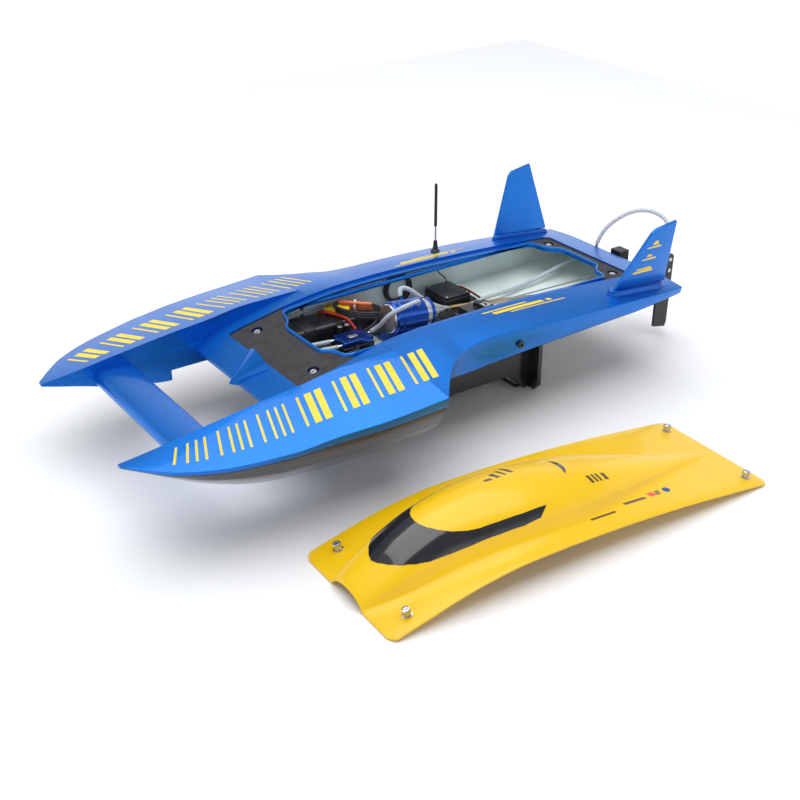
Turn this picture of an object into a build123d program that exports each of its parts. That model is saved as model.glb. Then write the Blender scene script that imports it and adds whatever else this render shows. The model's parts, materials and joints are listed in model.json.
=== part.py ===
"""Radio controlled racing hydroplane with its cowl off, on a display stand.

Millimetres. +X runs to the bow, +Y to port, +Z up. The origin is on the surface
that the stand's feet rest on, on the hull's centreline, midway along the hull.
"""

import os
from math import atan2, cos, degrees, hypot, radians, sin, tan

from build123d import *

os.makedirs("parts", exist_ok=True)

# ---------------------------------------------------------------- driving sizes
HULL_LENGTH = 762.0  # bow tips to transom
STERN_X = -HULL_LENGTH / 2
SPONSON_END_X = 50.0  # where the sponsons stop and the afterbody carries on
INNER_WALL_Y = 103.0  # inner walls of the sponsons, either side of the tunnel
WALL = 3.0  # moulded hull wall
HATCH_DROP = 3.0  # depth of the recess that the cowl sits in
RECESS_FRONT_X = 160.0
RECESS_REAR_X = -338.0
RECESS_HALF_WIDTH = 82.0
LIP_HEIGHT = 4.2  # coaming above the recess floor
LIP_WIDTH = 3.0
SCREW_FRONT = (131.0, 63.0)
SCREW_REAR = (-321.0, 62.0)

COWL_LENGTH = 498.0
COWL_WIDTH = 163.0
COWL_SHELL = 2.0
COWL_PLACE = (-5.8, 306.5)  # middle of the cowl where it lies beside the hull
COWL_YAW = -1.91
COWL_SPRING = 1.3  # the free moulding arches this much more than the deck it is drawn to

PIVOT_X, PIVOT_Y = -432.0, 45.0  # rudder pin
TILLER = 16.5  # rudder tiller and servo horn radius
ROD_Y = PIVOT_Y - TILLER
HORN_X, HORN_Y = -140.0, ROD_Y - TILLER
ROD_FRONT_Z, ROD_REAR_Z = 112.5, 104.0  # pushrod height at its two ends

MOTOR_AT = (-45.0, -8.0, 109.0)
MOTOR_TILT = 6.0
CAN_RADIUS = 18.0
CAN_LENGTH = 56.0

STRUT_AT = (-384.5, 0.0, 65.5)  # front end of the strut barrel
STRUT_TILT = 4.0
STUB_RADIUS = 2.38

# Afterbody offsets: x, deck height, edge y, edge z, side's lower z, bottom z
AFTERBODY = [
    (STERN_X, 116.0, 128.0, 112.0, 103.0, 84.0),
    (-335.0, 124.0, 133.5, 115.0, 102.5, 82.0),
    (-280.0, 128.6, 136.5, 119.5, 101.5, 81.0),
    (-200.0, 134.0, 139.0, 124.3, 100.0, 79.5),
    (-120.0, 137.0, 137.5, 128.5, 98.0, 78.0),
    (-60.0, 137.7, 135.4, 130.5, 95.5, 77.0),
    (-20.0, 137.3, 142.0, 129.0, 94.0, 76.5),
    (0.0, 136.8, 153.0, 128.0, 94.0, 76.0),
    (20.0, 135.6, 169.0, 125.0, 94.0, 75.5),
    (40.0, 133.6, 192.0, 120.5, 94.0, 75.0),
    (SPONSON_END_X, 132.5, 204.6, 118.5, 94.0, 75.0),
]
# Centre pod between the sponsons: x, deck height, bottom z
POD = [
    (SPONSON_END_X, 132.5, 75.0),
    (80.0, 128.0, 74.5),
    (120.0, 120.0, 74.0),
    (160.0, 111.0, 74.0),
    (178.0, 103.5, 75.5),
    (194.0, 95.5, 91.0),
]
# Port sponson offsets: x, inner deck z, deck edge (y, z), bevel (y, z),
# chine (y, z), keel (y, z), inner wall's lower z
SPONSON = [
    (50.0, 133.0, (205.0, 118.5), (200.5, 104.5), (187.0, 79.0), (151.0, 46.0), 74.0),
    (120.0, 132.5, (203.7, 114.7), (199.5, 103.0), (185.5, 78.0), (151.0, 47.0), 74.0),
    (180.0, 125.5, (198.5, 112.5), (194.5, 102.0), (181.0, 78.0), (150.0, 49.5), 74.0),
    (224.0, 121.5, (194.5, 108.5), (190.5, 100.0), (177.0, 78.0), (148.0, 52.0), 74.0),
    (228.0, 121.0, (194.0, 108.3), (190.0, 99.8), (176.5, 78.0), (148.0, 52.5), 61.0),
    (260.0, 117.0, (186.5, 106.0), (183.0, 98.5), (171.0, 80.0), (146.0, 58.0), 66.0),
    (300.0, 112.0, (174.0, 104.0), (170.5, 97.0), (160.0, 84.0), (141.0, 70.0), 75.0),
    (340.0, 106.5, (152.0, 103.0), (149.0, 97.0), (141.0, 91.0), (128.0, 84.5), 87.0),
    (365.0, 103.8, (128.0, 102.8), (125.5, 98.5), (120.0, 96.0), (113.0, 93.5), 94.0),
    (381.0, 102.4, (110.0, 102.3), (109.5, 100.6), (108.0, 99.8), (106.0, 99.2), 99.0),
]
BOTTOM_HALF_WIDTH = 96.0
SIDE_FOOT_Y = 134.0  # the side's lower edge runs straight on where the deck flares
COLLAR = 20.0  # spare length on cutting blocks


def along(table, x, column):
    """Straight-line value of one column of an offset table at x."""
    rows = sorted(table, key=lambda row: row[0])
    for low, high in zip(rows, rows[1:]):
        if low[0] <= x <= high[0]:
            share = (x - low[0]) / (high[0] - low[0])
            return low[column] + share * (high[column] - low[column])
    raise ValueError("x is off the table")


DECK_LINE = sorted({(row[0], row[1]) for row in AFTERBODY + POD})


def deck_z(x):
    """Height of the flat centre deck."""
    return along(DECK_LINE, x, 1)


def cross_plane(x):
    """Section plane across the hull: local x is port, local y is up."""
    return Plane(origin=(x, 0, 0), x_dir=(0, 1, 0), z_dir=(1, 0, 0))


def mirrored(half):
    """A closed outline from its port half, which starts and ends on the centreline side."""
    return half + [(-y, z) for y, z in reversed(half)]


def pulled_in(before, corner, after, depth):
    """A corner moved inside both of its edges by depth, on an outline that runs clockwise."""
    normals = []
    for start, end in ((before, corner), (corner, after)):
        run = hypot(end[0] - start[0], end[1] - start[1])
        normals.append(((end[1] - start[1]) / run, (start[0] - end[0]) / run))
    (a, b), (c, d) = normals
    reach = depth / (1 + a * c + b * d)
    return (corner[0] + reach * (a + c), corner[1] + reach * (b + d))


def afterbody_outline(row, inset=0.0):
    x, deck, edge_y, edge_z, side_z, bottom = row
    slope = (deck - edge_z) / (edge_y - RECESS_HALF_WIDTH)
    shoulder = (INNER_WALL_Y, deck - slope * (INNER_WALL_Y - RECESS_HALF_WIDTH) * 0.75)
    edge = (edge_y, edge_z)
    foot = (min(edge_y - 2.0, SIDE_FOOT_Y), side_z)
    floor = (BOTTOM_HALF_WIDTH, bottom)
    drop = inset + HATCH_DROP if inset else 0.0
    return mirrored(
        [
            (RECESS_HALF_WIDTH + inset, deck - drop),
            (INNER_WALL_Y, shoulder[1] - drop),
            pulled_in(shoulder, edge, foot, inset),
            pulled_in(edge, foot, floor, inset),
            (BOTTOM_HALF_WIDTH, bottom + 1.1 * inset),
        ]
    )


def pod_outline(row, inset=0.0):
    x, deck, bottom = row
    drop = inset + HATCH_DROP if inset else 0.0
    half = INNER_WALL_Y + 1.0 - 4.0 * (inset > 0)
    return mirrored([(half, deck - drop), (half, bottom + inset)])


def sponson_outline(row, side):
    x, deck, edge, bevel, chine, keel, inner = row
    outline = [(INNER_WALL_Y, deck), edge, bevel, chine, keel, (INNER_WALL_Y, inner)]
    return [(side * y, z) for y, z in outline]


def section(x, outline, shrink=0.0):
    """One loft section, a face across the hull at x."""
    with BuildSketch(cross_plane(x)) as face:
        with BuildLine():
            Polyline(*outline, close=True)
        make_face()
        if shrink:
            offset(amount=-shrink, kind=Kind.INTERSECTION)
    return face.sketch


def side_band(lower, upper, half_width, mode=Mode.ADD, y=0.0):
    """A block between two side-view lines, both lists of (x, z) from aft to forward."""
    with BuildSketch(Plane.XZ.offset(-y - half_width)) as band:
        with BuildLine():
            Polyline(*lower, *reversed(upper), close=True)
        make_face()
    extrude(band.sketch, amount=2 * half_width, mode=mode)


def deck_line(rise, start=RECESS_REAR_X, end=RECESS_FRONT_X):
    """Side-view line that follows the centre deck, raised by rise."""
    inner = [x for x, z in DECK_LINE if start < x < end]
    return [(x, deck_z(x) + rise) for x in [start, *inner, end]]


def tube(points, radius, bore=0.0, mode=Mode.ADD):
    """A hose or wire through the points: straight runs with tangent arcs."""
    spots = [Vector(*p) for p in points]
    radii = []
    for before, at, after in zip(spots, spots[1:], spots[2:]):
        turn = radians((at - before).get_angle(after - at))
        run = min((at - before).length, (after - at).length)
        radii.append(0.45 * run / tan(turn / 2))
    with BuildLine() as line:
        FilletPolyline(*points, radius=radii)
    path = line.wire()
    with BuildSketch(Plane(origin=path @ 0, z_dir=path % 0)) as ring:
        Circle(radius)
        if bore:
            Circle(bore, mode=Mode.SUBTRACT)
    sweep(ring.sketch, path=path, mode=mode)


def turned(profile, origin, direction=(0, 0, 1), mode=Mode.ADD):
    """A turned shape: profile is (radius, height) pairs along the axis from origin."""
    axis = Vector(*direction).normalized()
    side = Vector(0, 1, 0) if abs(axis.Y) < 0.9 else Vector(1, 0, 0)
    radial = (side - axis * side.dot(axis)).normalized()
    plane = Plane(origin=origin, x_dir=radial, z_dir=radial.cross(axis))
    with BuildSketch(plane) as half:
        with BuildLine():
            Polyline(*profile, close=True)
        make_face()
    revolve(half.sketch, axis=Axis(origin, direction), mode=mode)


def block(low, high, mode=Mode.ADD):
    """An upright box between two corners."""
    with BuildSketch(Plane.XY.offset(low[2])) as base:
        with Locations(((low[0] + high[0]) / 2, (low[1] + high[1]) / 2)):
            Rectangle(high[0] - low[0], high[1] - low[1])
    extrude(base.sketch, amount=high[2] - low[2], mode=mode)


def rod(start, end, radius, mode=Mode.ADD):
    """A plain round rod between two points."""
    reach = Vector(*end) - Vector(*start)
    with BuildSketch(Plane(origin=start, z_dir=reach)) as disc:
        Circle(radius)
    extrude(disc.sketch, amount=reach.length, mode=mode)


def floor_z(x):
    """Inside floor of the bay."""
    return along(AFTERBODY, x, 5) + 1.1 * WALL


def finish(piece, name):
    """Names a finished piece and writes it."""
    piece.part.label = name
    export_step(piece.part, f"parts/{name}.step")


# ---------------------------------------------------------------- hull moulding
OUTLET_X, OUTLET_Z = -105.0, 111.0
BOOT_Z = ROD_REAR_Z + (ROD_FRONT_Z - ROD_REAR_Z) * (STERN_X - PIVOT_X) / (HORN_X - PIVOT_X)
FITTING_Y, FITTING_Z = -38.0, 104.0
DRAIN_Y, DRAIN_Z = 75.0, 94.0
TRANSOM_HOLES = [(ROD_Y, BOOT_Z, 3.4), (FITTING_Y, FITTING_Z, 3.0), (DRAIN_Y, DRAIN_Z, 4.0)]
with BuildPart() as hull_blank:
    loft([section(row[0], afterbody_outline(row)) for row in AFTERBODY], ruled=True)
    loft([section(row[0], pod_outline(row)) for row in POD], ruled=True)
    for side in (1, -1):
        loft([section(row[0], sponson_outline(row, side)) for row in SPONSON], ruled=True)
    # the afterbody and the pod are one bay, and each sponson has its own
    bay = [section(row[0], afterbody_outline(row, WALL)) for row in AFTERBODY[1:-1]]
    bay.insert(0, section(STERN_X + WALL, afterbody_outline(AFTERBODY[0], WALL)))
    bay.append(section(SPONSON_END_X - WALL, afterbody_outline(AFTERBODY[-1], WALL)))
    loft(bay, ruled=True, mode=Mode.SUBTRACT)
    bay = [section(row[0], pod_outline(row, WALL)) for row in POD[:-1]]
    bay.insert(0, section(SPONSON_END_X - 2 * WALL, pod_outline(POD[0], WALL)))
    loft(bay, ruled=True, mode=Mode.SUBTRACT)
    for side in (1, -1):
        bay = [section(row[0], sponson_outline(row, side), WALL) for row in SPONSON[1:-2]]
        bay.insert(0, section(SPONSON_END_X + WALL, sponson_outline(SPONSON[0], side), WALL))
        loft(bay, ruled=True, mode=Mode.SUBTRACT)

    # ways through the transom and the sides
    for y, z, radius in TRANSOM_HOLES:
        rod((STERN_X - 2, y, z), (STERN_X + WALL + 2, y, z), radius, mode=Mode.SUBTRACT)
    rod((OUTLET_X, -150, OUTLET_Z), (OUTLET_X, 150, OUTLET_Z), 3.0, mode=Mode.SUBTRACT)

with BuildPart() as seam_block:
    under = 20.0
    seam = [(row[0], row[4]) for row in AFTERBODY]
    seam[0] = (STERN_X - COLLAR, seam[0][1])
    side_band([(seam[0][0], under), (seam[-1][0], under)], seam, 230.0)
    nose = (POD[-1][0] + COLLAR, 92.5)
    side_band(
        [(SPONSON_END_X, under), (nose[0], under)],
        [(SPONSON_END_X, 94.0), nose],
        INNER_WALL_Y,
    )
    for side in (1, -1):
        chine_line = [(row[0], row[3][1]) for row in SPONSON]
        chine_line.append((STERN_X * -1 + COLLAR, chine_line[-1][1]))
        side_band(
            [(SPONSON_END_X, under), (chine_line[-1][0], under)],
            chine_line,
            60.0,
            y=side * (INNER_WALL_Y + 60.0),
        )

# opening outline in plan, port half from bow to stern
OPENING = [(105, 38), (95, 48), (90, 72), (-297, 72), (-303, 46), (-320, 34)]


def opening(grow=0.0):
    """The hatch opening's outline, grown by grow."""
    with BuildSketch(Plane.XY.offset(90)) as outline:
        with BuildLine():
            Polyline(*OPENING, *[(x, -y) for x, y in reversed(OPENING)], close=True)
        make_face()
        if grow:
            offset(amount=grow, kind=Kind.INTERSECTION)
    return outline.sketch


with BuildPart() as shaft_way:
    SHAFT_ROUTE = [
        (-112.0, -8.0, 102.0),
        (-160.0, -6.5, 96.5),
        (-210.0, -4.5, 90.0),
        (-255.0, -2.6, 84.0),
        (-300.0, -1.0, 77.5),
        (-345.0, -0.2, 70.6),
        (-384.0, 0.0, 65.6),
    ]
    tube(SHAFT_ROUTE, 3.2)

with BuildPart() as hull_bottom:
    add(hull_blank.part)
    add(seam_block.part, mode=Mode.INTERSECT)
    add(shaft_way.part, mode=Mode.SUBTRACT)
finish(hull_bottom, "hull_bottom")

NOSE_BASE = (164.0, 100.0)  # x and z of the nose cone's base
NOSE_TIP = (203.0, 94.0)
NOSE_RADIUS = 26.0
SOCKETS = [(x, s * y) for x, y in (SCREW_FRONT, SCREW_REAR) for s in (1, -1)]
SOCKET_RADIUS = 5.0
ANTENNA_AT = (-166.0, -112.0)
nose_dir = (NOSE_TIP[0] - NOSE_BASE[0], 0, NOSE_TIP[1] - NOSE_BASE[1])

with BuildPart() as hull_deck:
    add(hull_blank.part)
    add(seam_block.part, mode=Mode.SUBTRACT)
    # recess for the cowl
    side_band(
        deck_line(-HATCH_DROP),
        [(RECESS_REAR_X, 160), (RECESS_FRONT_X, 160)],
        RECESS_HALF_WIDTH,
        mode=Mode.SUBTRACT,
    )
    extrude(opening(), amount=70, mode=Mode.SUBTRACT)
    with BuildSketch(Plane.XY.offset(90)):
        with Locations(*SOCKETS):
            Circle(SOCKET_RADIUS)
    extrude(amount=60, mode=Mode.SUBTRACT)
    with BuildSketch(Plane.XY.offset(100)):
        with Locations(ANTENNA_AT):
            Circle(3.0)
    extrude(amount=60, mode=Mode.SUBTRACT)
finish(hull_deck, "hull_deck")

with BuildPart() as nose_cone:
    with BuildSketch(Plane(origin=(NOSE_BASE[0], 0, NOSE_BASE[1]), z_dir=nose_dir)):
        Circle(NOSE_RADIUS)
    with BuildSketch(Plane(origin=(NOSE_TIP[0], 0, NOSE_TIP[1]), z_dir=nose_dir)):
        Circle(1.0)
    loft(ruled=True)
    # the pod takes the cone's lower half
    pod_top = [(x, deck_z(x)) for x in (120, 160, 178, 194)]
    side_band([(120, 50), (178, 50), (178, 75.5), (194, 91)], pod_top, 60.0, mode=Mode.SUBTRACT)
finish(nose_cone, "nose_cone")

with BuildPart() as hatch_coaming:
    extrude(opening(LIP_WIDTH), amount=70)
    extrude(opening(), amount=70, mode=Mode.SUBTRACT)
    rim = deck_line(-HATCH_DROP, RECESS_REAR_X + 5, RECESS_FRONT_X - 5)
    rim_top = deck_line(LIP_HEIGHT - HATCH_DROP, RECESS_REAR_X + 5, RECESS_FRONT_X - 5)
    side_band(rim, rim_top, RECESS_HALF_WIDTH, mode=Mode.INTERSECT)
finish(hatch_coaming, "hatch_coaming")

GASKET_THICKNESS = 1.2
GASKET_REAR_X, GASKET_FRONT_X = -294.0, 86.0
with BuildPart() as hatch_gasket:
    with BuildSketch(Plane.XY.offset(90)):
        reach = RECESS_FRONT_X - RECESS_REAR_X - 1.0
        with Locations(((RECESS_FRONT_X + RECESS_REAR_X) / 2, 0)):
            Rectangle(reach, 2 * RECESS_HALF_WIDTH - 1.0)
        with Locations(*SOCKETS):
            Circle(7.2, mode=Mode.SUBTRACT)
    extrude(amount=70)
    extrude(opening(LIP_WIDTH + 0.1), amount=70, mode=Mode.SUBTRACT)
    # there are two sheets, one at each end of the opening
    block((GASKET_REAR_X, -90, 80), (GASKET_FRONT_X, 90, 170), mode=Mode.SUBTRACT)
    side_band(
        deck_line(-HATCH_DROP),
        deck_line(GASKET_THICKNESS - HATCH_DROP),
        RECESS_HALF_WIDTH,
        mode=Mode.INTERSECT,
    )
finish(hatch_gasket, "hatch_gasket")

INSERT_LENGTH = 9.0
with BuildPart() as hatch_inserts:
    for x, y in SOCKETS:
        top = deck_z(x) - HATCH_DROP
        lean = degrees(atan2(deck_z(x + 5) - deck_z(x - 5), 10))
        seat = Plane(origin=(x, y, top + 0.4), x_dir=(cos(radians(lean)), 0, sin(radians(lean))),
                     z_dir=(-sin(radians(lean)), 0, cos(radians(lean))))
        with BuildSketch(seat):
            Circle(6.8)
            Circle(2.1, mode=Mode.SUBTRACT)
        extrude(amount=1.0)
        with BuildSketch(seat):
            Circle(4.4)
            Circle(2.1, mode=Mode.SUBTRACT)
        extrude(amount=-INSERT_LENGTH)
finish(hatch_inserts, "hatch_inserts")

# ---------------------------------------------------------------- wing and fins
WING_CHORD = (273.0, 322.0)
WING_LE_Z, WING_TE_Z = 90.0, 95.5
with BuildPart() as front_wing:
    with BuildSketch(Plane.XZ.offset(-INNER_WALL_Y)):
        with BuildLine():
            Spline(
                (WING_CHORD[0], WING_TE_Z + 1.0),
                (300.0, 99.6),
                (315.0, 99.2),
                (WING_CHORD[1], WING_LE_Z),
                (314.0, 81.2),
                (298.0, 84.5),
                (WING_CHORD[0], WING_TE_Z - 1.0),
            )
            Line((WING_CHORD[0], WING_TE_Z - 1.0), (WING_CHORD[0], WING_TE_Z + 1.0))
        make_face()
    extrude(amount=2 * INNER_WALL_Y)
finish(front_wing, "front_wing")

FIN_LEAN = 15.0  # outward cant
FIN_THICKNESS = 3.6
FIN_FOOT = (-268.0, 114.0, 130.0)  # front corner of the fin's foot
FIN_OUTLINE = [(0, 0), (92, -6), (77, 86), (44, 81), (38, 76)]


def fin_plane(side):
    """Plane in a fin's inner face: local x runs aft and local y up the fin."""
    lean = radians(FIN_LEAN)
    return Plane(
        origin=(FIN_FOOT[0], side * FIN_FOOT[1], FIN_FOOT[2]),
        x_dir=(-1, 0, 0),
        z_dir=(0, side * cos(lean), -sin(lean)),
    )


def fin_points(side):
    """The fin's outline, with its local y turned so that it always rises."""
    up = 1 if fin_plane(side).y_dir.Z > 0 else -1
    return [(x, up * y) for x, y in FIN_OUTLINE]


with BuildPart() as tail_fins:
    for side in (1, -1):
        with BuildSketch(fin_plane(side)):
            with BuildLine():
                Polyline(*fin_points(side), close=True)
            make_face()
        extrude(amount=FIN_THICKNESS)
finish(tail_fins, "tail_fins")

# a raised foot that each fin is screwed to
FOOT_OUTLINE = [(-262, 112), (-270, 122), (-352, 123), (-361, 116), (-361, 107), (-270, 107)]
with BuildPart() as fin_feet:
    for side in (1, -1):
        with BuildSketch(Plane.XY.offset(105)):
            with BuildLine():
                Polyline(*[(x, side * y) for x, y in FOOT_OUTLINE], close=True)
            make_face()
        extrude(amount=30)
    side_band([(-370, 112), (-255, 122.5)], [(-370, 127), (-255, 134)], 130.0,
              mode=Mode.INTERSECT)
    add(tail_fins.part, mode=Mode.SUBTRACT)
    add(hull_deck.part, mode=Mode.SUBTRACT)
finish(fin_feet, "fin_feet")

# ---------------------------------------------------------------- radio
ANTENNA_Z = 131.0
antenna_seat = (*ANTENNA_AT, ANTENNA_Z)
with BuildPart() as antenna_base:
    turned([(1.0, -6), (2.9, -6), (2.9, 0), (6.2, 0), (5.8, 2.6), (3.6, 4.4), (2.4, 16), (1.0, 16)],
           antenna_seat)
finish(antenna_base, "antenna_base")

with BuildPart() as antenna_whip:
    turned([(0, -6), (0.9, -6), (0.9, 35), (2.0, 36), (2.0, 92), (1.4, 93.5), (0, 93.5)],
           antenna_seat)
finish(antenna_whip, "antenna_whip")

TRAY_TOP = 84.0
TRAY_THICKNESS = 1.5
RECEIVER = ((-168.0, -84.0, TRAY_TOP), (-128.0, -36.0, 100.0))
with BuildPart() as antenna_coax:
    COAX_ROUTE = [
        (-166.0, -112.0, 125.0),
        (-166.0, -111.6, 120.5),
        (-164.0, -107.0, 114.5),
        (-160.0, -99.0, 110.5),
        (-157.5, -90.5, 109.6),
        (-158.0, -83.0, 108.4),
        (-159.8, -79.0, 105.0),
        (-160.2, -78.4, 100.2),
    ]
    tube(COAX_ROUTE, 0.8)
finish(antenna_coax, "antenna_coax")

POWER_TRAY_TOP = 81.6
MAT_TOP = 83.6
with BuildPart() as equipment_trays:
    block((-184, -86, TRAY_TOP - TRAY_THICKNESS), (-112, 30, TRAY_TOP))
    low_z = POWER_TRAY_TOP - 1.2
    block((2, -92, low_z), (100, 92, POWER_TRAY_TOP))
    for side in (1, -1):
        inner, outer = sorted((side * 46, side * 92))
        block((-38, inner, low_z), (2, outer, POWER_TRAY_TOP))
    # a mat under the motor, clear of its mount
    block((-110, -46, MAT_TOP - 1.2), (-14, 46, MAT_TOP))
    block((-100, -30, 80), (-10, 14, 90), mode=Mode.SUBTRACT)
finish(equipment_trays, "equipment_trays")

with BuildPart() as receiver:
    block(*RECEIVER)
    fillet(receiver.edges().filter_by(Axis.Z), 2.5)
    chamfer(receiver.faces().sort_by(Axis.Z)[-1].edges(), 1.0)
finish(receiver, "receiver")

# ---------------------------------------------------------------- steering
SERVO_TOP = 106.0
HORN_Z = 108.6
HORN_THICKNESS = 2.2
with BuildPart() as steering_servo:
    block((-158, HORN_Y - 10, TRAY_TOP), (-118, HORN_Y + 10, SERVO_TOP))
    block((-165, HORN_Y - 9, 96), (-111, HORN_Y + 9, 98.5))
    turned([(0, 0), (6, 0), (5.4, 1.6), (0, 1.6)], (HORN_X, HORN_Y, SERVO_TOP))
    turned([(0, 1.6), (2.6, 1.6), (2.6, 2.2), (0, 2.2)], (HORN_X, HORN_Y, SERVO_TOP))
finish(steering_servo, "steering_servo")


def crank(pivot, reach, z, thickness, pin_top, hub=5.0):
    """A lever: hub, tapering arm of the given signed reach along Y, and its pin."""
    with BuildSketch(Plane.XY.offset(z)) as arm:
        with BuildLine():
            Polyline(
                (pivot[0] - hub + 1, pivot[1]),
                (pivot[0] - 2.2, pivot[1] + reach),
                (pivot[0] + 2.2, pivot[1] + reach),
                (pivot[0] + hub - 1, pivot[1]),
                close=True,
            )
        make_face()
        with Locations(pivot):
            Circle(hub)
        with Locations((pivot[0], pivot[1] + reach)):
            Circle(2.4)
    extrude(arm.sketch, amount=thickness)
    rod((pivot[0], pivot[1] + reach, z + thickness), (pivot[0], pivot[1] + reach, pin_top), 0.9)


with BuildPart() as servo_horn:
    crank((HORN_X, HORN_Y), TILLER, HORN_Z, HORN_THICKNESS, ROD_FRONT_Z + 2.2)
finish(servo_horn, "servo_horn")

EYE_THICKNESS = 1.6
ROD_RADIUS = 1.0
with BuildPart() as pushrod:
    front = (HORN_X - 4.5, ROD_Y, ROD_FRONT_Z - 0.13)
    rear = (PIVOT_X + 4.5, ROD_Y, ROD_REAR_Z + 0.13)
    rod(front, rear, ROD_RADIUS)
    for x, z, swing in ((HORN_X, ROD_FRONT_Z, -1.0), (PIVOT_X, ROD_REAR_Z, 1.0)):
        with BuildSketch(Plane.XY.offset(z - EYE_THICKNESS / 2)):
            with Locations((x, ROD_Y + swing)):
                RectangleRounded(10.4, 9.6, 2.4)
            with Locations((x, ROD_Y + swing)):
                RectangleRounded(3.4, 5.6, 1.6, mode=Mode.SUBTRACT)
        extrude(amount=EYE_THICKNESS)
finish(pushrod, "pushrod")

rod_run = Vector(PIVOT_X - HORN_X, 0, ROD_REAR_Z - ROD_FRONT_Z).normalized()
with BuildPart() as pushrod_boot:
    turned(
        [(1.06, -4), (3.2, -4), (3.2, 0.3), (6.0, 0.3), (6.0, 2.2), (3.0, 3.4), (4.6, 5.4),
         (2.8, 7.4), (4.0, 9.4), (2.4, 11.4), (1.9, 15.0), (1.06, 15.0)],
        (STERN_X, ROD_Y, BOOT_Z),
        (rod_run.X, rod_run.Y, rod_run.Z),
    )
finish(pushrod_boot, "pushrod_boot")

# ---------------------------------------------------------------- rudder
PIN_RADIUS = 1.95
LUG_BORE = 2.0
LOWER_LUG = (84.0, 88.0)
UPPER_LUG = (96.0, 99.6)
TILLER_Z = 100.2
with BuildPart() as rudder_bracket:
    block((STERN_X - 3, PIVOT_Y - 9, 84.5), (STERN_X, PIVOT_Y + 13, 110))
    for low, high in (LOWER_LUG, UPPER_LUG):
        block((PIVOT_X, PIVOT_Y - 6, low), (STERN_X - 3, PIVOT_Y + 6, high))
        turned([(0, low), (6, low), (6, high), (0, high)], (PIVOT_X, PIVOT_Y, 0))
    block((PIVOT_X + 12, PIVOT_Y - 2, LOWER_LUG[1]), (STERN_X - 3, PIVOT_Y + 2, UPPER_LUG[0]))
    rod((PIVOT_X, PIVOT_Y, 80), (PIVOT_X, PIVOT_Y, 104), LUG_BORE, mode=Mode.SUBTRACT)
    for z in (90, 105):
        rod((STERN_X - 9, PIVOT_Y + 9.5, z), (STERN_X + 2, PIVOT_Y + 9.5, z), 1.6,
            mode=Mode.SUBTRACT)
    for z in (90, 105):
        rod((STERN_X - 9, PIVOT_Y - 6.2, z), (STERN_X + 2, PIVOT_Y - 6.2, z), 1.6,
            mode=Mode.SUBTRACT)
finish(rudder_bracket, "rudder_bracket")

BLADE_THICKNESS = 4.0
BLADE_OUTLINE = [
    (-425.5, 81.5),
    (-425.5, 13.0),
    (-446.5, 8.5),
    (-449.5, 14.0),
    (-451.0, 112.0),
    (-448.5, 115.0),
    (-439.6, 115.0),
    (-439.6, 81.5),
]
BLADE_SCREWS = [(-443.8, 108.4), (-443.2, 92.8)]
with BuildPart() as rudder_blade:
    with BuildSketch(Plane.XZ.offset(-PIVOT_Y - BLADE_THICKNESS / 2)):
        with BuildLine():
            Polyline(*BLADE_OUTLINE, close=True)
        make_face()
        with Locations(*BLADE_SCREWS):
            Circle(1.7, mode=Mode.SUBTRACT)
    extrude(amount=BLADE_THICKNESS)
    stock = (LOWER_LUG[1] + 0.4, UPPER_LUG[0] - 0.4)
    turned([(0, stock[0]), (5.4, stock[0]), (5.4, stock[1]), (0, stock[1])], (PIVOT_X, PIVOT_Y, 0))
    block((-440.0, PIVOT_Y - 2, stock[0]), (PIVOT_X, PIVOT_Y + 2, stock[1]))
    rod((PIVOT_X, PIVOT_Y, 82), (PIVOT_X, PIVOT_Y, 104), PIN_RADIUS, mode=Mode.SUBTRACT)
finish(rudder_blade, "rudder_blade")

NIPPLE_TOP = 113.0
with BuildPart() as rudder_pin:
    turned([(0, 82.6), (3.0, 82.6), (3.0, 83.6), (PIN_RADIUS, 83.6), (PIN_RADIUS, 104),
            (1.5, 104), (1.5, NIPPLE_TOP - 2), (1.8, NIPPLE_TOP - 2), (1.2, NIPPLE_TOP),
            (0, NIPPLE_TOP)],
           (PIVOT_X, PIVOT_Y, 0))
    # screws through the top of the blade
    face = PIVOT_Y + BLADE_THICKNESS / 2
    for x, z in BLADE_SCREWS:
        turned([(0, -6), (1.6, -6), (1.6, 0.1), (2.9, 0.1), (2.6, 1.5), (0, 1.9)], (x, face, z),
               (0, 1, 0))
finish(rudder_pin, "rudder_pin")

with BuildPart() as rudder_tiller:
    crank((PIVOT_X, PIVOT_Y), -TILLER, TILLER_Z, 2.2, ROD_REAR_Z + 2.2, hub=5.0)
    rod((PIVOT_X, PIVOT_Y, 99), (PIVOT_X, PIVOT_Y, 106), PIN_RADIUS, mode=Mode.SUBTRACT)
finish(rudder_tiller, "rudder_tiller")

# ---------------------------------------------------------------- drive line
with BuildPart() as stuffing_tube:
    tube(SHAFT_ROUTE, 3.175, bore=2.35)
finish(stuffing_tube, "stuffing_tube")

with BuildPart() as flex_shaft:
    FLEX_ROUTE = [(-102.2, -8.3, 103.1), *SHAFT_ROUTE[1:]]
    tube(FLEX_ROUTE, 1.95)
finish(flex_shaft, "flex_shaft")

strut_dir = (-cos(radians(STRUT_TILT)), 0, -sin(radians(STRUT_TILT)))
BARREL_LENGTH = 46.0
CHEEK_Y = (6.2, 9.0)
with BuildPart() as strut_bracket:
    block((STERN_X - 3, -14, 85), (STERN_X, 14, 114))
    for side in (1, -1):
        low, high = sorted((side * CHEEK_Y[0], side * CHEEK_Y[1]))
        block((STERN_X - 22, low, 86), (STERN_X - 3, high, 113))
    block((STERN_X - 22, -CHEEK_Y[1], 112), (STERN_X - 6, CHEEK_Y[1], 119))
    for z in (92, 104):
        rod((STERN_X - 14, -16, z), (STERN_X - 14, 16, z), 1.6, mode=Mode.SUBTRACT)
finish(strut_bracket, "strut_bracket")

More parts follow.
